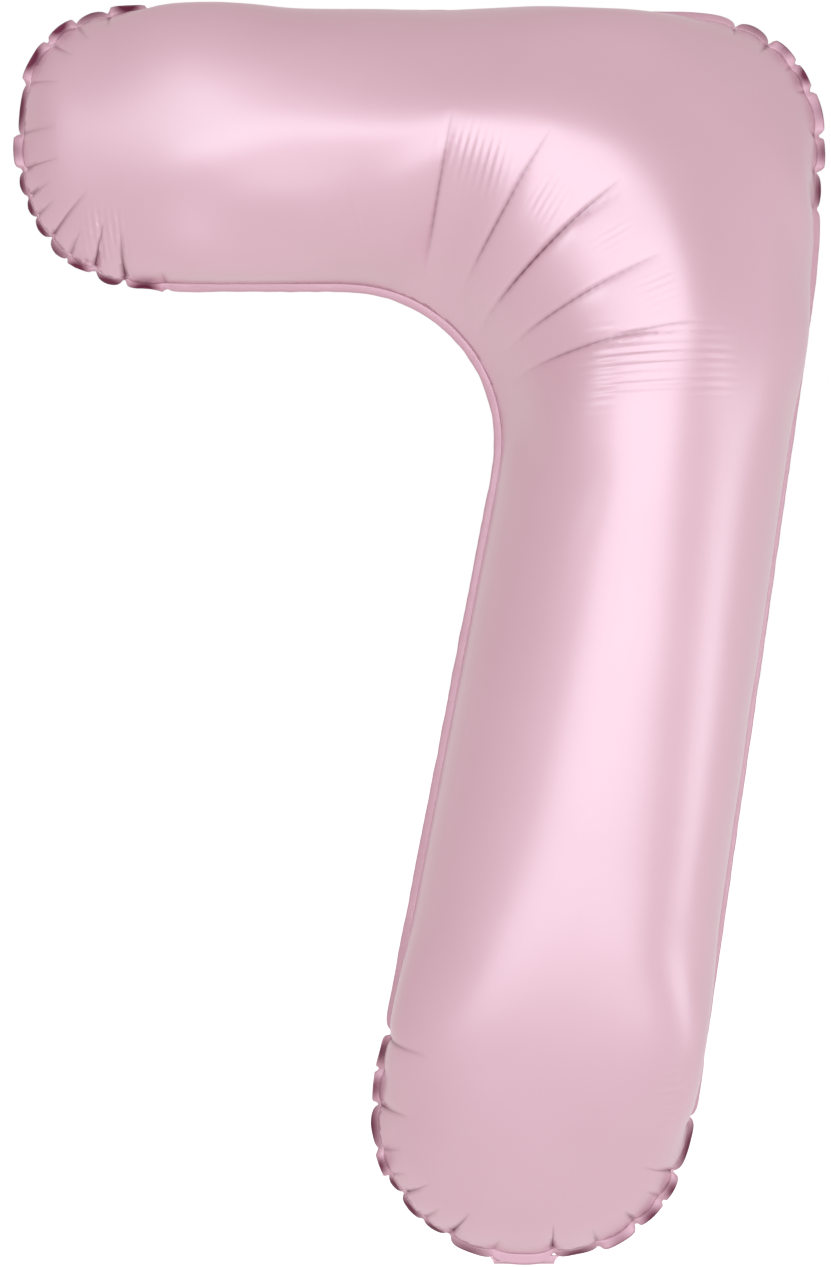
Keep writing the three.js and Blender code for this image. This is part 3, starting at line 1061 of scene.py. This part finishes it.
def tuck_points():
    """Close points on the flat film along each tuck, in from the border."""
    border = even_steps(film_outline, step=SEAM_STEP)
    inward = -outward_of(border)
    points = []
    for at, length in zip(flat_tuck_at, tuck_length):
        here = int(at) % len(border)
        tangent = np.array((inward[here][1], -inward[here][0]))
        for deep in np.arange(TUCK_FIRST, length + TUCK_PAST, TUCK_STEP):
            for side in TUCK_ROWS:
                points.append(border[here] + inward[here] * deep + tangent * side)
    return np.array(points)


# %% [markdown]
# A tuck is drawn on the filled seam and pressed into a sheet that is cut flat, so the place on the
# flat border that became each tuck is looked up first.

# %% Match the flat border to the seam
BORDER_SOFTEN = 1.2  # simulated steps

sim_run = np.linspace(0, len(film_outline), rim + 1)
smooth_seam = soften_round(sim_seam, BORDER_SOFTEN)
closed_seam = np.vstack([smooth_seam, smooth_seam[:1]])
border_run = np.arange(len(film_outline), dtype=float)
filled_border = np.column_stack([np.interp(border_run, sim_run, closed_seam[:, k]) for k in (0, 1)])
flat_tuck_at = nearest(filled_border, seam_line[(tuck_at / SEAM_STEP).astype(int)])[0]
border_to_seam = nearest(seam_line, filled_border)[0] * SEAM_STEP
print("flat border", len(film_outline), "mm, seam", round(seam_length), "mm")

# %% [markdown]
# ## Folding, ribbing and tucking
#
# The creases are pressed into the laid-out sheet along its own surface direction. A fold is the sum
# of a narrow cusp, which draws the line, and a wide one, which makes the swells between folds. One
# side of the cusp is steeper than the other, as where film is laid over. At the very bottom its two
# faces nearly touch, and shade is painted into the film's colour there, as a thin dark line.

# %% Folds
LINE_WIDTH = 1.0  # mm either side of a crease where its two faces nearly touch; shade is painted over this width
PAINTED_LINE_SHADE = 0.4  # how much shade is painted there, for each millimetre of depth
LINE_START = 0.3  # share of a fold over which its line sets in
FOLD_REACH = 45.0  # mm to each side that a fold presses
FOLD_PEAK = 1.6  # brings the middle of the fade below to about 1
FOLD_FADES = (0.5, 0.8)  # below 1, the fold sets in and dies away quickly
STEEP_SIDE, GENTLE_SIDE = 1.6, 3.6  # mm, the widths of the cusp's two sides
CUSP_SHARE, SWELL_SHARE = 1.1, 0.35
SWELL_WIDTH, SWELL_ROUNDNESS = 13.0, 1.4  # mm, and the power of its bell


def fold_depths(seen, folds):
    """How deep the folds press at each point, seen from the front, in mm, and how much shade is painted
    along their lines.
    """
    total = np.zeros(len(seen))
    line = np.zeros(len(seen))
    for start, middle, end, depth in folds:
        places, along = between((start, middle, end), 1.0)
        hit, off = nearest(places, seen)
        share = hit / (len(places) - 1)
        aside = seen - places[hit]
        side = along[hit, 0] * aside[:, 1] - along[hit, 1] * aside[:, 0]
        fade = FOLD_PEAK * share ** FOLD_FADES[0] * (1 - share) ** FOLD_FADES[1]
        steep = np.where(side > 0, STEEP_SIDE, GENTLE_SIDE)
        swell = np.exp(-((off / SWELL_WIDTH) ** SWELL_ROUNDNESS))
        cusp = CUSP_SHARE * np.exp(-off / steep) + SWELL_SHARE * swell
        total += np.where(off < FOLD_REACH, depth * fade * cusp, 0)
        line_shade = PAINTED_LINE_SHADE * depth * fade * smooth_step(0, LINE_START, share)
        line = np.maximum(line, line_shade * np.exp(-((off / LINE_WIDTH) ** 2)))
    return total, line


# %% [markdown]
# A rib patch is a cosine under a flat-topped bell, whose ends wander a little so that it doesn't
# stop in a straight line, and whose height beats slowly so that no two ribs are alike.

# %% Ribs
WANDERS = ((0.9, 9.0, 0.0), (0.6, 4.1, 1.0))  # mm along the ribs, mm across them, and start
BEAT_DEPTH, BEAT_RATE = 0.35, 1.9
RIB_SLANT = 0.02  # radians of the cosine for each mm along the ribs


def rib_heights(seen, ribs):
    """How high the fine ribs stand at each point, seen from the front, in mm."""
    total = np.zeros(len(seen))
    for centre, way, half_length, half_width, spacing, height in ribs:
        along = heading(way)
        offset = seen - np.array(centre)
        run, off = offset @ along, offset @ np.array((-along[1], along[0]))
        wander = sum(size * np.sin(off / length + start) for size, length, start in WANDERS)
        ends = np.exp(-np.abs((run - wander) / half_length) ** 3)
        flanks = np.exp(-np.abs(off / half_width) ** 4)
        beat = 1 + BEAT_DEPTH * np.sin(off / spacing * BEAT_RATE)
        wave = np.cos(2 * math.pi * off / spacing + RIB_SLANT * run)
        total += height * beat * ends * flanks * wave
    return total


# %% [markdown]
# A tuck is a fold that starts at the seam: deepest there, with a narrow line and a wider dip.

# %% Tucks
TUCK_FADE = 0.8  # below 1, the crease keeps its depth for longer
TUCK_LINE, TUCK_LINE_WIDTH = 0.8, 2.0  # share of the depth, and mm
TUCK_DIP, TUCK_DIP_WIDTH = 0.4, 8.0


def tuck_depths(run, deep):
    """How deep the tucks press at a distance in from the seam, in mm, and how much shade is painted along
    their lines.
    """
    total = np.zeros(len(run))
    line = np.zeros(len(run))
    for at, length, depth in zip(tuck_at, tuck_length, tuck_depth):
        off = np.abs(round_gap(at, run))
        fade = np.clip(1 - deep / length, 0, 1) ** TUCK_FADE
        crease = TUCK_LINE * np.exp(-off / TUCK_LINE_WIDTH)
        dip = TUCK_DIP * np.exp(-((off / TUCK_DIP_WIDTH) ** 2))
        total += depth * fade * (crease + dip)
        line = np.maximum(line, PAINTED_LINE_SHADE * depth * fade * np.exp(-((off / LINE_WIDTH) ** 2)))
    return total, line


# %% [markdown]
# ## The two panels
#
# Each panel is cut flat, laid on its filled sheet, drawn to the exact seam near its border, and only
# then pressed along its normals. The closest points go in first, so that a fold's own points are
# kept where two sets of them meet.

# %% Make the panels
DETAIL_PATCH, DETAIL_COUNT = 14.0, 24  # mm and points, to find a detail's place on the flat film
PATCH_RADIUS, PATCH_COUNT = 16.0, 50  # mm and points, the curved patches that carry a sheet
CLOSEST = 1.1  # mm between any two points
DETAIL_ROOM = 0.7  # plain steps kept clear round a detail's points
RIM_ROOM = 0.45  # and inside the border
SEAM_BLEND = 16.0  # mm from the seam over which its exact shape takes over
BLEND_FULLNESS = 1.3
RIM_SOFTEN = 0.8  # plain steps
SEAM_HOLD = 3.0  # mm from the seam over which a crease sets in


def surface_normals(places, faces):
    """Unit normals at the vertices of a triangle mesh."""
    a, b, c = (places[faces[:, k]] for k in range(3))
    flat = np.cross(b - a, c - a)
    total = np.zeros_like(places)
    for k in range(3):
        np.add.at(total, faces[:, k], flat)
    return unit(total)


def make_sheet(name, side, sim_places, folds, ribs):
    """One panel with its folds, ribs and tucks. side is -1 for the front and 1 for the back."""
    seen_sim = sim_places[:, [0, 2]]
    fine = even_steps(film_outline, FINE_STEP)
    details = detail_points(folds, ribs)
    details = lay_on(seen_sim, sim_flat, details, DETAIL_PATCH, DETAIL_COUNT)
    details = thin_out(np.vstack([tuck_points(), details]), CLOSEST)
    plain = honeycomb(film_outline.min(0), film_outline.max(0), FINE_STEP)
    plain = plain[nearest(details, plain)[1] > DETAIL_ROOM * FINE_STEP]
    points = np.vstack([details, plain])
    _, clear = nearest(film_outline, points)
    points = points[inside(points, fine) & (clear > RIM_ROOM * FINE_STEP)]
    flat, faces = triangulate(fine, points)

    places = lay_on(sim_flat, sim_places, flat, PATCH_RADIUS, PATCH_COUNT)

    border_index, deep = nearest(film_outline, flat)
    run = border_to_seam[border_index]
    here = (run / SEAM_STEP).astype(int) % len(seam_line)
    exact = np.column_stack([seam_shape[here, 0], seam_sway[here], seam_shape[here, 1]])
    missing = soften_round((exact - places)[: len(fine)], RIM_SOFTEN)
    to_border, gap = nearest(fine, flat)
    places += missing[to_border] * np.exp(-((gap / SEAM_BLEND) ** BLEND_FULLNESS))[:, None]

    if side > 0:
        faces = faces[:, ::-1]
    seen = places[:, [0, 2]]
    fold_press, fold_shade_line = fold_depths(seen, folds)
    tuck_press, tuck_shade_line = tuck_depths(run, deep)
    press = (fold_press + tuck_press - rib_heights(seen, ribs)) * smooth_step(0, SEAM_HOLD, gap)
    places -= surface_normals(places, faces) * press[:, None]
    piece = new_piece(name, places, faces, body_film)
    # painted shade: the thin dark lines down the folds and tucks, stored as `curl` to darken the film's
    # colour
    dark = np.clip(np.maximum(fold_shade_line, tuck_shade_line), 0, 1).astype(np.float32)
    piece.data.attributes.new("curl", "FLOAT", "POINT").data.foreach_set("value", dark)
    print(name, len(places), "points", len(faces), "triangles")
    return piece


front_film = make_sheet("front_film", -1, sim_front, FRONT_FOLDS, FRONT_RIBS)
back_film = make_sheet("back_film", 1, sim_back, BACK_FOLDS, BACK_RIBS)

# %% [markdown]
# Real film has a thickness, if a small one. Solidify gives each panel a wall, inwards from the
# outside that was just shaped, so that each is a closed solid.

# %% Give the film its wall
FILM_WALL = 0.3  # mm

for piece, body_node in ((front_film, "front_panel"), (back_film, "back_panel")):
    wall = piece.modifiers.new("wall", "SOLIDIFY")
    wall.thickness = FILM_WALL * MM
    wall.offset = -1
    apply_modifiers(piece)
    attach(piece, "balloon")
    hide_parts(body_node)
    print(piece.name, len(piece.data.polygons), "faces with the wall")

# %% [markdown]
# ## The sealed edge
#
# Outside the seam line the two films are one flat strip, cut a few millimetres wide. It follows the
# seam all the way round, so a node tree makes it: a thin section is swept along the seam and then
# pushed out of its plane, by the lean that each lobe was given and by a fine crinkle. The section
# is a closed rectangle and the seam a closed line, so the strip is closed everywhere.
#
# The tree starts from the seam as a plain loop of edges, which carries what each of its points knows.

# %% The seam as a loop
SEAM_POINT_STEP = 2.0  # mm between the swept sections
OUTWARD_SOFTEN, LEAN_SOFTEN, LOBE_SOFTEN = 3.0, 1.5, 1.0  # mm

edge_step = int(SEAM_POINT_STEP / SEAM_STEP)

lane = bpy.data.meshes.new("seam_lane")
ring = seam_shape[::edge_step]
sway = seam_sway[::edge_step]
ring_count = len(ring)
lane.from_pydata(
    (np.column_stack([ring[:, 0], sway, ring[:, 1]]) * MM).tolist(),
    [(i, (i + 1) % ring_count) for i in range(ring_count)],
    [],
)
outward = outward_of(soften_round(seam_shape, OUTWARD_SOFTEN))[::edge_step]
ring_values = {
    "lean": soften_round(lean_shape, LEAN_SOFTEN)[::edge_step],
    "lobe": soften_round(lobe, LOBE_SOFTEN)[::edge_step],
    "gather": gather[::edge_step],
}
for name, values in ring_values.items():
    lane.attributes.new(name, "FLOAT", "POINT").data.foreach_set("value", values.astype(np.float32))
vectors = np.column_stack([outward[:, 0], np.zeros(ring_count), outward[:, 1]]).astype(np.float32)
lane.attributes.new("outward", "FLOAT_VECTOR", "POINT").data.foreach_set("vector", vectors.ravel())
sealed_edge = bpy.data.objects.new("sealed_edge", lane)
scene.collection.objects.link(sealed_edge)
print("seam loop of", ring_count, "points")

# %% [markdown]
# The tree's inputs are the strip's sizes. They can be changed in the modifier afterwards, as long as
# it hasn't been applied.

# %% The strip's inputs
EDGE_WALL = 0.6  # mm, both films
EDGE_ROOT = 0.8  # mm that the strip reaches in under the panels
EDGE_LEAN = 4.2  # mm that its rim is carried out of the plane where a lobe leans fully
CRINKLE_HEIGHT, CRINKLE_LENGTH, CRINKLE_SEED = 0.5, 17.0, 5.0  # mm, mm, and the noise's seed

strip = bpy.data.node_groups.new("sealed_edge_strip", "GeometryNodeTree")
strip.interface.new_socket("Seam", in_out="INPUT", socket_type="NodeSocketGeometry")
STRIP_SIZES = {
    "Width": edge_width * MM,
    "Root": EDGE_ROOT * MM,
    "Wall": EDGE_WALL * MM,
    "Lean": EDGE_LEAN * MM,
    "Crinkle": CRINKLE_HEIGHT * MM,
    "Crinkle Length": CRINKLE_LENGTH * MM,
    "Seed": CRINKLE_SEED,
}
for name in STRIP_SIZES:
    strip.interface.new_socket(name, in_out="INPUT", socket_type="NodeSocketFloat")
strip.interface.new_socket("Film", in_out="INPUT", socket_type="NodeSocketMaterial")
strip.interface.new_socket("Strip", in_out="OUTPUT", socket_type="NodeSocketGeometry")
sizes = strip.nodes.new("NodeGroupInput").outputs
print("strip inputs:", ", ".join(STRIP_SIZES))

# %% [markdown]
# The seam becomes a curve that remembers where each of its points was. The section is a square of
# side 1, whose x becomes the way through the film and y the way across it. Swept along the curve,
# each point then knows its place in the strip, and the swept shape itself is thrown away.

# %% Sweep the section along the seam
seam_curve = add_node(strip, "GeometryNodeMeshToCurve", {}, {"Mesh": sizes["Seam"]}).outputs["Curve"]
seam_curve = add_node(
    strip,
    "GeometryNodeStoreNamedAttribute",
    {"data_type": "FLOAT_VECTOR"},
    {
        "Geometry": seam_curve,
        "Name": "seam_at",
        "Value": add_node(strip, "GeometryNodeInputPosition").outputs["Position"],
    },
).outputs["Geometry"]

section = add_node(
    strip, "GeometryNodeCurvePrimitiveQuadrilateral", {}, {"Width": 1.0, "Height": 1.0}
).outputs["Curve"]
section = add_node(strip, "GeometryNodeSubdivideCurve", {}, {"Curve": section, "Cuts": 4}).outputs["Curve"]
section_at = add_node(strip, "GeometryNodeInputPosition").outputs["Position"]
section_at = add_node(strip, "ShaderNodeSeparateXYZ", {}, {"Vector": section_at}).outputs
across = add_node(strip, "ShaderNodeMath", {"operation": "ADD"}, {0: section_at["Y"], 1: 0.5}).outputs[0]
for name, value in (("across", across), ("through", section_at["X"])):
    section = add_node(
        strip,
        "GeometryNodeStoreNamedAttribute",
        {"data_type": "FLOAT"},
        {"Geometry": section, "Name": name, "Value": value},
    ).outputs["Geometry"]
swept = add_node(
    strip,
    "GeometryNodeCurveToMesh",
    {},
    {"Curve": seam_curve, "Profile Curve": section},
).outputs["Mesh"]

# %% [markdown]
# What each swept point knows about its place is read back from the attributes. The crinkle is a
# noise with a fixed seed, read at the seam, so that it is the same right across the strip.

# %% What a point of the strip knows
known = {
    name: add_node(
        strip, "GeometryNodeInputNamedAttribute", {"data_type": kind}, {"Name": name}
    ).outputs["Attribute"]
    for name, kind in {
        "seam_at": "FLOAT_VECTOR",
        "outward": "FLOAT_VECTOR",
        "across": "FLOAT",
        "through": "FLOAT",
        "lean": "FLOAT",
        "lobe": "FLOAT",
        "gather": "FLOAT",
    }.items()
}
crinkle_scale = add_node(
    strip, "ShaderNodeMath", {"operation": "DIVIDE"}, {0: 1.0, 1: sizes["Crinkle Length"]}
)
crinkle_noise = add_node(
    strip,
    "ShaderNodeTexNoise",
    {"noise_dimensions": "4D"},
    {"Vector": known["seam_at"], "W": sizes["Seed"], "Scale": crinkle_scale.outputs[0], "Detail": 2.0},
)
# most of the noise lies between 0.3 and 0.7, which becomes -1 to 1
crinkle = add_node(
    strip,
    "ShaderNodeMapRange",
    {"clamp": False},
    {
        "Value": crinkle_noise.outputs["Fac"],
        "From Min": 0.3,
        "From Max": 0.7,
        "To Min": -1.0,
        "To Max": 1.0,
    },
).outputs["Result"]
print(len(known), "attributes and a crinkle")

# %% [markdown]
# The strip's shape is a chain of sums, one node for each. A step's name can be used by later steps.

# %% Shape the strip
TUCK_LOSS, LEAN_LOSS = -0.6, -0.5  # shares of the width lost at a tuck, and seen from the front
UNEVEN = 0.05  # share of the width by which the cut wavers
CURL_POWER = 1.5  # above 1, the strip stays flat at the seam and curls towards its rim
RIM_SHADE, ROOT_SHADE = 0.9, 0.75  # how far shade is painted into the colour: what the rim adds to the root's

steps = [
    # across the strip: narrower at a tuck and where it leans, and a little uneven
    ("slack", "MULTIPLY", known["gather"], TUCK_LOSS),
    ("lean_size", "ABSOLUTE", known["lean"], 0.0),
    ("lean_loss", "MULTIPLY", "lean_size", LEAN_LOSS),
    ("uneven", "MULTIPLY", crinkle, UNEVEN),
    ("share_a", "ADD", "slack", "lean_loss"),
    ("share_b", "ADD", "share_a", "uneven"),
    ("share", "ADD", "share_b", 1.0),
    ("wide", "MULTIPLY", sizes["Width"], "share"),
    ("whole", "ADD", "wide", sizes["Root"]),
    ("run", "MULTIPLY", "whole", known["across"]),
    ("reach_out", "SUBTRACT", "run", sizes["Root"]),
    # out of the plane: the lean curls the strip, the crinkle shakes it, and the wall gives it its
    # two faces
    ("bent", "POWER", known["across"], CURL_POWER),
    ("lean_all", "MULTIPLY", known["lean"], sizes["Lean"]),
    ("leaning", "MULTIPLY", "lean_all", "bent"),
    ("crinkle_all", "MULTIPLY", crinkle, sizes["Crinkle"]),
    ("crinkled", "MULTIPLY", "crinkle_all", known["across"]),
    ("walled", "MULTIPLY", known["through"], sizes["Wall"]),
    ("sway_a", "ADD", "leaning", "crinkled"),
    ("sway", "ADD", "sway_a", "walled"),
    # how deep the film sits in its own curl, which sets how much shade is painted into its colour
    ("shade_a", "MULTIPLY_ADD", known["across"], RIM_SHADE, ROOT_SHADE),
    ("shade_b", "MULTIPLY", "lean_size", "shade_a"),
    ("curl", "MULTIPLY", "shade_b", known["lobe"]),
]
made = {}
for name, operation, *values in steps:
    inputs = {k: made.get(v, v) if isinstance(v, str) else v for k, v in enumerate(values)}
    made[name] = add_node(strip, "ShaderNodeMath", {"operation": operation}, inputs).outputs[0]
print(len(steps), "steps")

# %% [markdown]
# Each point is put at its place beside the seam, and the tree ends by making everything real and
# giving it its material. The modifier is then turned into a plain mesh.

# %% Place the strip and apply it
out_of_seam = add_node(
    strip,
    "ShaderNodeVectorMath",
    {"operation": "SCALE"},
    {"Vector": known["outward"], "Scale": made["reach_out"]},
)
out_of_plane = add_node(strip, "ShaderNodeCombineXYZ", {}, {"Y": made["sway"]})
beside = add_node(
    strip,
    "ShaderNodeVectorMath",
    {"operation": "ADD"},
    {0: out_of_seam.outputs["Vector"], 1: out_of_plane.outputs["Vector"]},
)
final_place = add_node(
    strip,
    "ShaderNodeVectorMath",
    {"operation": "ADD"},
    {0: known["seam_at"], 1: beside.outputs["Vector"]},
)
shaped = add_node(
    strip,
    "GeometryNodeSetPosition",
    {},
    {"Geometry": swept, "Position": final_place.outputs["Vector"]},
)
# painted shade: each lobe's curl is stored as `curl`, which darkens the edge film's colour towards deep red
shade_stored = add_node(
    strip,
    "GeometryNodeStoreNamedAttribute",
    {"data_type": "FLOAT"},
    {"Geometry": shaped.outputs["Geometry"], "Name": "curl", "Value": made["curl"]},
)
real = add_node(strip, "GeometryNodeRealizeInstances", {}, {"Geometry": shade_stored.outputs["Geometry"]})
coated = add_node(
    strip,
    "GeometryNodeSetMaterial",
    {},
    {"Geometry": real.outputs["Geometry"], "Material": sizes["Film"]},
)
add_node(strip, "NodeGroupOutput", {}, {"Strip": coated.outputs["Geometry"]})

nodes_modifier = sealed_edge.modifiers.new("strip", "NODES")
nodes_modifier.node_group = strip
strip_inputs = {**STRIP_SIZES, "Film": edge_film}
for item in strip.interface.items_tree:
    if item.name in strip_inputs:
        nodes_modifier[item.identifier] = strip_inputs[item.name]
apply_modifiers(sealed_edge)


def face_outwards(piece):
    """Turns a closed mesh's faces outwards and shades it smooth."""
    work = bmesh.new()
    work.from_mesh(piece.data)
    bmesh.ops.recalc_face_normals(work, faces=work.faces)
    work.to_mesh(piece.data)
    work.free()
    piece.data.shade_smooth()


face_outwards(sealed_edge)
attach(sealed_edge, "balloon")
print("sealed edge:", len(sealed_edge.data.polygons), "faces")

# %% [markdown]
# ## The filling tail
#
# The tail is a flat tube of the same film, left open at its far end, through which the balloon is
# filled. It hangs from the neck under the foot and is stored folded up behind it. Its two films are
# sealed along both long sides and stand a little apart in between. It starts inside the sealed edge,
# which it meets with a small fillet on each side, turns over the fold and follows the curl that the
# model gives its two leaves.

# %% The tail's path
tail_low, tail_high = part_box("tail_front_leaf")
fold_joint = next(j for j in frame["joints"] if j["name"] == "tail_fold")
fold_z = fold_joint["pos_m"][2] / MM
tail_half_width = (tail_high[0] - tail_low[0]) / 2 / MM


def curl_centre():
    """Height of the axis that the stored tail curls round, from the leaf's own mesh, in mm."""
    places = np.array([v.co for v in frame["nodes"]["tail_front_leaf"].data.vertices]) / MM
    y, z = places[:, 1], places[:, 2]
    far = z.argmax()
    # the fold and the leaf's far end are both on one circle round (0, centre)
    return (z[far] ** 2 + y[far] ** 2 - fold_z**2) / (2 * (z[far] - fold_z))


FOLD_RADIUS = 2.0  # mm, the tight bend at the fold
FOLD_LIFT = 1.9  # mm, how much higher the film lies than the line it turns about
curl_z = curl_centre()
fold_low = fold_z + FOLD_LIFT
curl_radius = curl_z - fold_low
NECK_TOP = -1.0  # z in mm where the tail starts, inside the sealed edge
TAIL_END = tail_high[1] / MM - FOLD_LIFT  # y in mm of the far end
TAIL_STEP = 1.6  # mm along it
TURN_POINTS = 7  # points round the fold


def tail_path(step):
    """Points (y, z) down the neck, over the fold and up behind the foot, in mm."""
    neck = [(0.0, z) for z in np.arange(NECK_TOP, fold_low + FOLD_RADIUS, -step)]
    turn = [
        (FOLD_RADIUS * (1 - math.cos(a)), fold_low + FOLD_RADIUS * (1 - math.sin(a)))
        for a in np.linspace(0, math.pi / 2, TURN_POINTS)
    ]
    first = math.asin(FOLD_RADIUS / curl_radius)
    last = math.asin(TAIL_END / curl_radius)
    count = int((last - first) * curl_radius / step)
    curl = [
        (curl_radius * math.sin(a), curl_z - curl_radius * math.cos(a))
        for a in np.linspace(first, last, count)[1:]
    ]
    return np.array(neck + turn + curl)


path = tail_path(TAIL_STEP)
tail_run = run_along(path)
print("tail", round(tail_run[-1]), "mm long")

# %% [markdown]
# The tail and the valve's plies are all flat strips with a thickness, so one function makes them. Its
# columns stand closer at the two sides, where a strip's edge turns.

# %% A strip along a path


def ribbon(name, path, half_width, thickness, sway, material, columns):
    """A closed flat strip along a path of (y, z), in mm. half_width, thickness and sway are given
    the distance along it, and the place across it from -1 to 1."""
    rows = len(path)
    run = run_along(path)[:, None]
    along = unit(np.gradient(path, axis=0))
    normal = np.column_stack([along[:, 1], -along[:, 0]])
    u = np.sin(np.linspace(-1, 1, columns) * math.pi / 2)[None]
    x = u * half_width(run)
    sheets = []
    for face in (-1, 1):
        off = sway(run, u) + face * thickness(run, u) / 2
        y = path[:, :1] + normal[:, :1] * off
        z = path[:, 1:] + normal[:, 1:] * off
        sheets.append(np.stack([x, y, z], axis=2).reshape(-1, 3))
    cell = np.arange(rows * columns).reshape(rows, columns)
    a, b, c, d = cell[:-1, :-1], cell[1:, :-1], cell[1:, 1:], cell[:-1, 1:]
    quads = np.stack([a, b, c, d], axis=2).reshape(-1, 4)
    border = np.r_[cell[0, :-1], cell[:-1, -1], cell[-1, :0:-1], cell[:0:-1, 0]]
    other = rows * columns
    following = np.roll(border, -1)
    walls = np.column_stack([border, following, following + other, border + other])
    faces = np.vstack([quads[:, ::-1], quads + other, walls])
    piece = new_piece(name, np.vstack(sheets), faces, material)
    face_outwards(piece)
    return piece


# %% [markdown]
# Three small rules give the tail its width, its thickness and its slight creases. The fold is where
# the tail turns, and the mesh turns there with it, from the neck to the part stored behind the foot.

# %% Filling tail
NECK_FILLET = 4.0  # mm that the tail widens to each side at the neck
TAIL_CORNER = 4.0  # mm, radius of the corners at the open end
SIDE_SEAL = 4.0  # mm
TAIL_FILM = 0.35  # mm, both films
TAIL_SWELL = 1.1  # mm that they stand apart
SWELL_START = (6, 22)  # mm along the tail over which they part
CREASE_SET_IN = (12, 26)  # mm along it over which its creases set in
TAIL_COLUMNS = 41


def corner_loss(left, radius):
    """How much a rounded corner takes off a strip's half width, that far from the strip's end."""
    share = 1 - np.clip(left / radius, 0, 1)
    return radius * (1 - np.sqrt(np.clip(1 - share**2, 0, 1)))


def tail_width(run):
    """Half the tail's width along it: a fillet at the neck and rounded corners at the open end."""
    fillet = NECK_FILLET * np.clip(1 - run / (NECK_TOP - fold_low), 0, 1) ** 2
    return tail_half_width + fillet - corner_loss(tail_run[-1] - run, TAIL_CORNER)


def tail_thickness(run, u):
    """Two films that lie on each other along both side seals and stand apart in between."""
    sealed = SIDE_SEAL / tail_half_width
    parted = smooth_step(1 - sealed, 1 - 2 * sealed, np.abs(u))
    return TAIL_FILM + TAIL_SWELL * parted * smooth_step(*SWELL_START, run)


def tail_sway(run, u):
    """Slight creases left by folding and packing."""
    long_creases = 0.35 * np.sin(run / 7.0 + 1.5 * u) * np.cos(2.2 * u)  # mm high, 7 mm radian
    short_creases = 0.25 * np.sin(run / 3.1 + 3 * u)
    return (long_creases + short_creases) * smooth_step(*CREASE_SET_IN, run)


filling_tail = ribbon(
    "filling_tail", path, tail_width, tail_thickness, tail_sway, edge_film, TAIL_COLUMNS
)
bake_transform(filling_tail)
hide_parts("tail_front_leaf", "tail_back_leaf")
print(filling_tail.name, len(filling_tail.data.polygons), "faces")

# %% [markdown]
# ## The valve
#
# Inside the foot, two plies of clear film run up from the neck. They are sealed to each other along
# both sides and open at the top, so that gas comes in between them and pressure then holds them
# shut. Nobody sees them in a filled balloon, but they are what keeps it filled.

# %% Valve plies
ply_low, ply_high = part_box("valve_front_ply")
ply_half_width = (ply_high[0] - ply_low[0]) / 2 / MM
ply_bottom = 0.5  # mm, just above the sealed edge
ply_top = ply_high[2] / MM
ply_gap = abs(ply_low[1] + ply_high[1]) / 2 / MM
PLY_STEP = 2.0  # mm along it
PLY_COLUMNS = 25
PLY_WALL = 0.15  # mm
PLY_CORNER = 5.0  # mm
WELD_HEIGHT, WELD_AT, WELD_WIDTH = 0.12, 0.9, 0.04  # mm, then shares of the half width
NECK_APART = 0.12  # mm between a ply and the middle of the neck
PLY_SWELL = 0.5  # mm that each ply arches
PLY_WAVE = 0.25  # mm

PARTS_OVER, ARCHES_OVER, WAVES_OVER = (3, 16), (16, 60), (16, 50)  # mm up from the bottom

rise = np.arange(ply_bottom, ply_top + 0.1, PLY_STEP)
ply_path = np.column_stack([np.zeros(len(rise)), rise])
ply_length = rise[-1] - rise[0]


def ply_width(run):
    """Half a ply's width, with rounded corners at the top."""
    return ply_half_width - corner_loss(ply_length - run, PLY_CORNER)


def ply_thickness(run, u):
    """An even film, with a thin raised line where each side is sealed."""
    weld = WELD_HEIGHT * np.exp(-(((np.abs(u) - WELD_AT) / WELD_WIDTH) ** 2))
    return np.broadcast_to(PLY_WALL + weld, (len(run), u.shape[1]))


def ply_stand(run, u):
    """How far a ply stands from the middle: flat in the neck, then a little apart and arched."""
    apart = ply_gap * smooth_step(*PARTS_OVER, run) + NECK_APART
    return apart + PLY_SWELL * (1 - u * u) * smooth_step(*ARCHES_OVER, run)


def ply_waves(run, u):
    """Slight waves that both plies share, so that they keep their distance."""
    return PLY_WAVE * np.sin(run / 9.0) * np.cos(1.6 * u) * smooth_step(*WAVES_OVER, run)


for side, ply_node in ((-1, "valve_front_ply"), (1, "valve_back_ply")):
    ply = ribbon(
        ply_node.replace("ply", "film"),
        ply_path,
        ply_width,
        ply_thickness,
        lambda run, u, side=side: ply_waves(run, u) - side * ply_stand(run, u),
        valve_film,
        PLY_COLUMNS,
    )
    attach(ply, "balloon")
    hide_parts(ply_node)
    print(ply.name, "from", ply_bottom, "to", round(ply_top), "mm")
